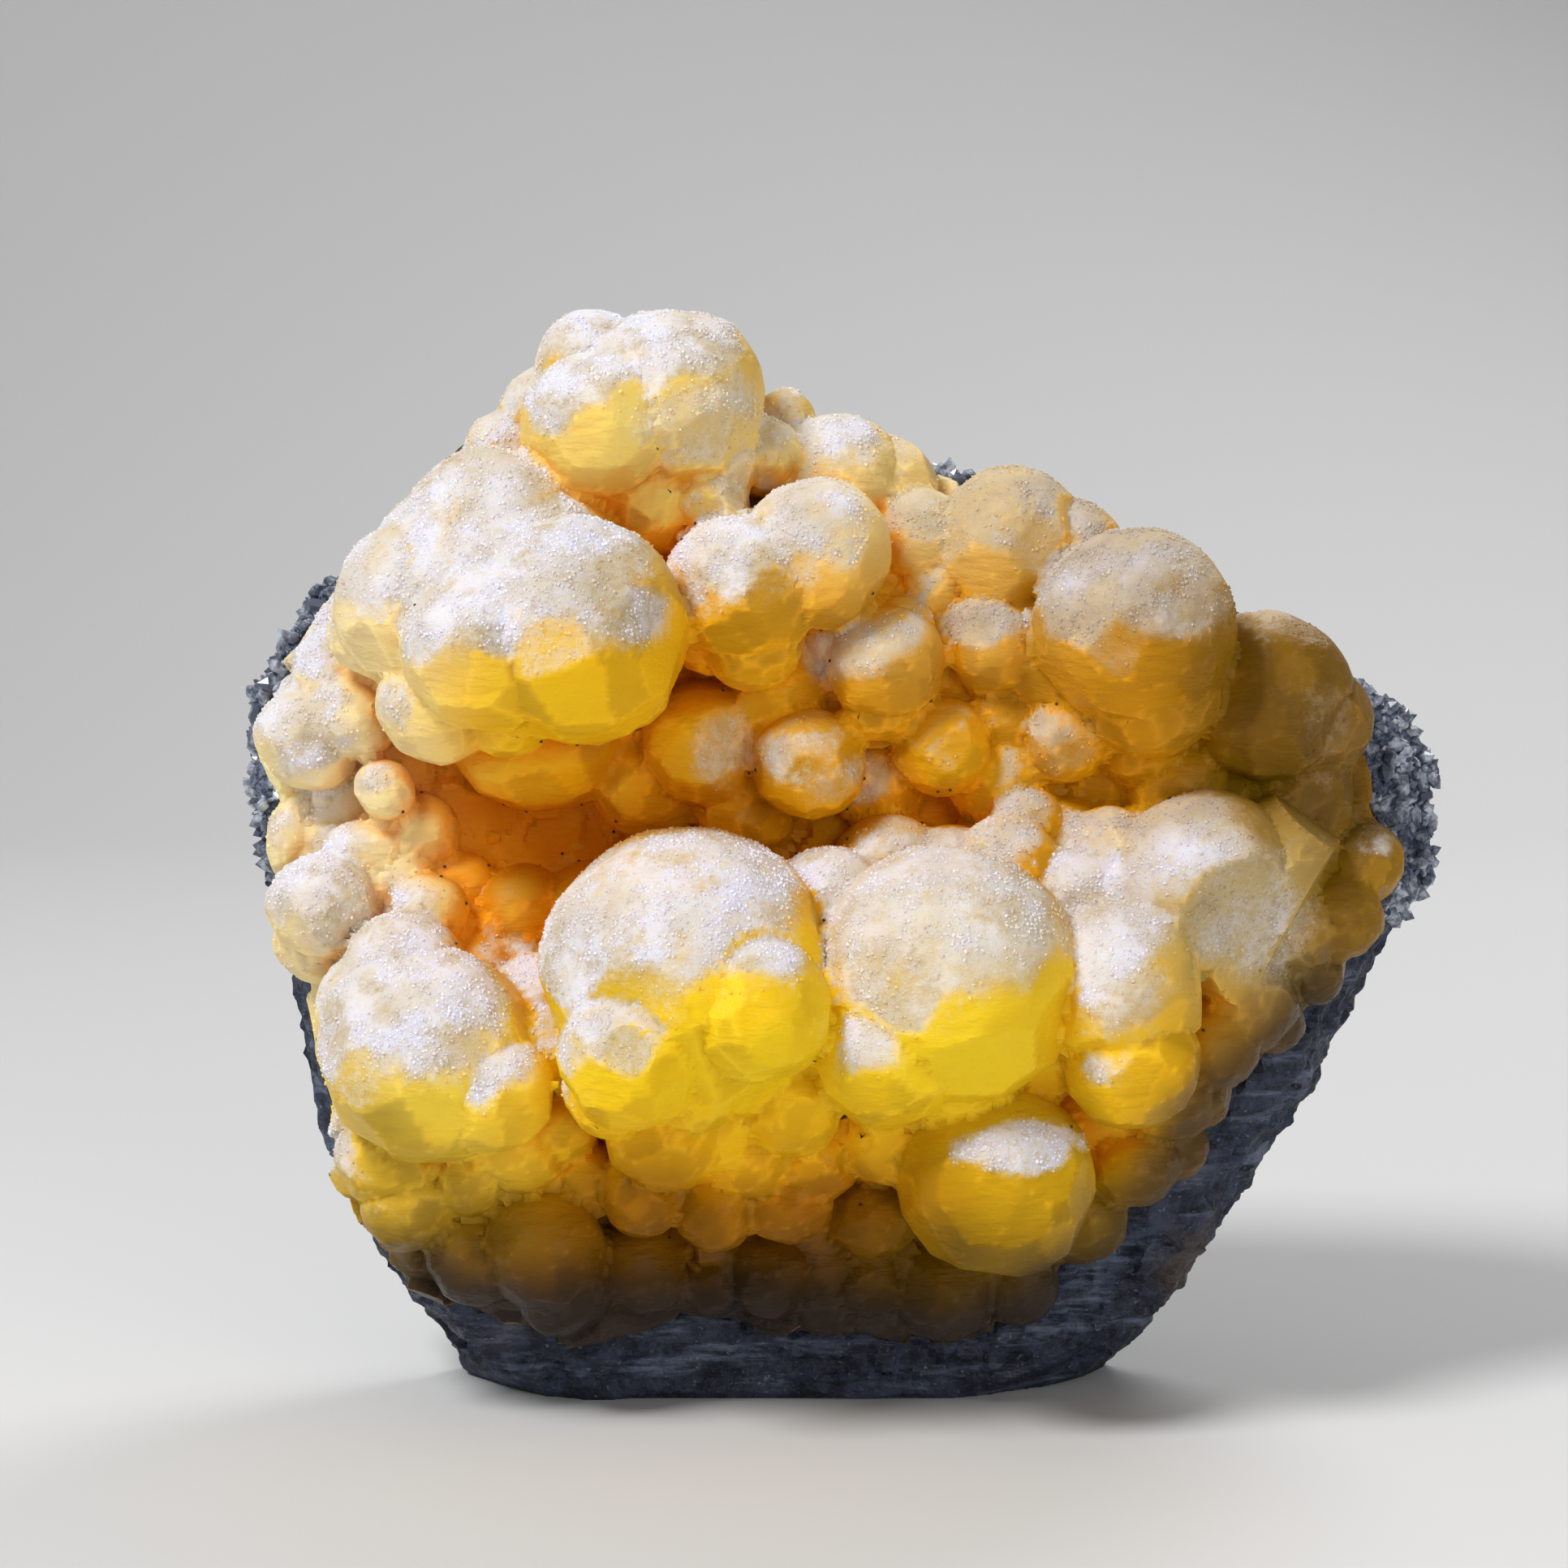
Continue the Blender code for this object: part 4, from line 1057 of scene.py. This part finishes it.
def quartz_material():
    """Dark streaked grey with brown stains, paler at the rim, and painted shade in its hollows."""
    s = Shader("quartz")
    fibrous = s.noise(6.0, 5.0, 0.72, (0.35, 0.5, 2.4))
    mottle = s.noise(3.0, 5.0, 0.74)
    fine = s.noise(0.6, 2.0, 0.6)
    dark = (0.007, 0.010, 0.020, 1)
    grey = (0.034, 0.045, 0.080, 1)
    pale = (0.15, 0.18, 0.26, 1)
    white = (0.62, 0.66, 0.76, 1)
    brown = (0.10, 0.068, 0.045, 1)
    ragged = s.math("MULTIPLY", s.math("SUBTRACT", mottle, 0.5), 0.8)
    ragged = s.math("ADD", s.kept("druse"), ragged)
    colour = dark
    for share, over in (
        (s.step(mottle, 0.40, 0.62), grey),
        (s.step(fibrous, 0.50, 0.68, 0.0, 0.8), pale),
        (s.step(fine, 0.62, 0.80, 0.0, 0.25), white),
        (s.kept("stain"), brown),
        # Painted shade in the matrix's closed-in hollows.
        (s.math("MULTIPLY", s.kept("hollow"), 0.6), dark),
        (s.step(ragged, 0.35, 0.7), s.mix(s.step(fine, 0.42, 0.6), grey, pale)),
    ):
        colour = s.mix(share, colour, over)
    s.set(Base_Color=colour, Roughness=s.step(fine, 0.3, 0.7, 0.42, 0.8), IOR=QUARTZ_IOR,
          Specular_IOR_Level=0.3)
    s.bump(s.math("ADD", mottle, s.math("MULTIPLY", fine, 0.4)), 0.7, 0.8)
    return s.material


def on_rim(points):
    """How much each point of the matrix belongs to its pale rim of small crystals."""
    x, y, z = points.T
    wander = layered(points, 5.0, 3, 98)
    right_rim = smooth(44.5, 49.5, x + wander) * smooth(42, 47, z) * smooth(13, 5, y)
    left_rim = smooth(-45, -49.5, x + wander) * smooth(44, 54, z + wander) * smooth(12, 3, y)
    top = smooth(80, 84, z) * smooth(6, 8, x) * smooth(15, 12.5, x) * smooth(8, 4, y)
    return np.clip(right_rim + left_rim + top, 0, 1)


def roughen_quartz(made):
    """Breaks the matrix's smooth skin into ledges, pits and grains, and keeps its foot flat."""
    data = made.data
    points, normals = vertex_array(data), normal_array(data)
    lift = smooth(0.2, 2.5, points[:, 2])
    big = layered(points, 8.0, 3, 70)
    ledge = 0.45 * big + 0.55 * np.round(big * 3.0) / 3.0
    layers = points * np.array((0.5, 0.8, 2.0))
    ridged = 1 - np.abs(layered(layers, 3.4, 3, 80))
    chips = facet_mosaic(points, 3.4, 95)
    grain = drift(points, 1.3, 90)
    push = 0.6 * ledge + 0.6 * (ridged - 0.7) + 0.22 * chips + 0.16 * grain - 0.35
    push += on_rim(points) * 0.9 * layered(points, 3.2, 2, 93)
    moved = points + normals * (push * lift)[:, None]
    low = points[:, 2] < FOOT_TOP
    moved[:, 2] = np.where(low, points[:, 2], np.maximum(moved[:, 2], FOOT_TOP))
    set_vertices(data, moved)


def colour_quartz(made, crust_points):
    """Where the matrix has its pale rim, its shaded hollows and its brown stains."""
    data = made.data
    points = vertex_array(data)
    openness = open_share(points, normal_array(data), crust_points, *QUARTZ_LOOKS)
    druse = on_rim(points)
    store(data, "druse", druse)
    store(data, "hollow", 1 - smooth(0.25, 0.8, openness))
    store(data, "stain", 0.6 * smooth(0.25, 0.9, layered(points, 11.0, 3, 99)))
    return druse


def floor():
    """A pale sweep: level under the specimen, curving up far behind it."""
    mesh = bmesh.new()
    profile = [(-1.6, 0.0), (0.5, 0.0)]
    for i in range(1, 25):
        turn = i / 24 * math.pi / 2
        profile.append((0.5 + 0.5 * math.sin(turn), 0.5 - 0.5 * math.cos(turn)))
    profile.append((1.0, 1.8))
    left, right = ([mesh.verts.new((x, y, z)) for y, z in profile] for x in (-2.2, 2.2))
    for i in range(len(profile) - 1):
        mesh.faces.new((left[i], right[i], right[i + 1], left[i + 1]))
    made = object_of("floor", mesh)
    made.data.shade_smooth()
    s = Shader("pale floor")
    s.set(Base_Color=(0.72, 0.72, 0.72, 1), Roughness=0.7)
    made.data.materials.append(s.material)


def studio():
    """Three soft lights on the specimen, and an even light from all around."""
    for name, place, size, power in LIGHTS:
        lamp = bpy.data.lights.new(name, "AREA")
        lamp.shape = "DISK"
        lamp.size = size
        lamp.energy = power
        made = linked(name, lamp)
        made.location = place
        towards = Vector(LIT_POINT) - Vector(place)
        made.rotation_euler = towards.to_track_quat("-Z", "Y").to_euler()
    world = bpy.data.worlds.new("studio")
    world.use_nodes = True
    around = world.node_tree.nodes["Background"].inputs
    around["Color"].default_value = (1, 1, 1, 1)
    around["Strength"].default_value = 0.22
    bpy.context.scene.world = world
    bpy.context.scene.view_settings.view_transform = "Standard"


def camera():
    """The view of the photograph: straight in front and a little above."""
    lens = bpy.data.cameras.new("camera")
    lens.lens = lens.sensor_width * EYE_DISTANCE / PICTURE_WIDTH
    lens.clip_start = 0.01
    made = linked("camera", lens)
    target = Vector((SIGHT_POINT[0], 0, SIGHT_POINT[1])) + Vector(STANDING_SHIFT)
    made.location = (target + Vector((0, -COSINE, SINE)) * EYE_DISTANCE) * MM
    made.rotation_euler = (math.pi / 2 - EYE_ELEVATION, 0, 0)
    bpy.context.scene.camera = made


def build():
    """Makes the four pieces, dresses them, and sets up the floor, the lights and the camera."""
    quartz = quartz_surface()
    crust = crust_surface()
    drop_hidden(crust, inside(vertex_array(crust.data), quartz, BURIED))
    roughen_quartz(quartz)
    look = Look(crust.data, vertex_array(quartz.data))
    look.keep(crust.data)
    carve_crust(crust, look)
    druse = colour_quartz(quartz, look.points)
    pieces = (
        (quartz, "quartz", "quartz_matrix", quartz_material(), True),
        (rim_crystals(quartz, druse), "quartz", "quartz_matrix", rim_material(), False),
        (crust, "fluorite", "fluorite_crust", fluorite_material(), True),
        (frost_grains(crust, look), "fluorite", "fluorite_crust", grain_material(), False),
    )
    for made, slot, node, material, rounded in pieces:
        finish_piece(made)
        if rounded:
            made.data.shade_smooth()
            made.data.set_sharp_from_angle(angle=CRISP_EDGE)
        else:
            made.data.shade_flat()
        made.data.materials.append(material)
        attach(made, "root")
        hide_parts(node)
    floor()
    studio()
    camera()


build()
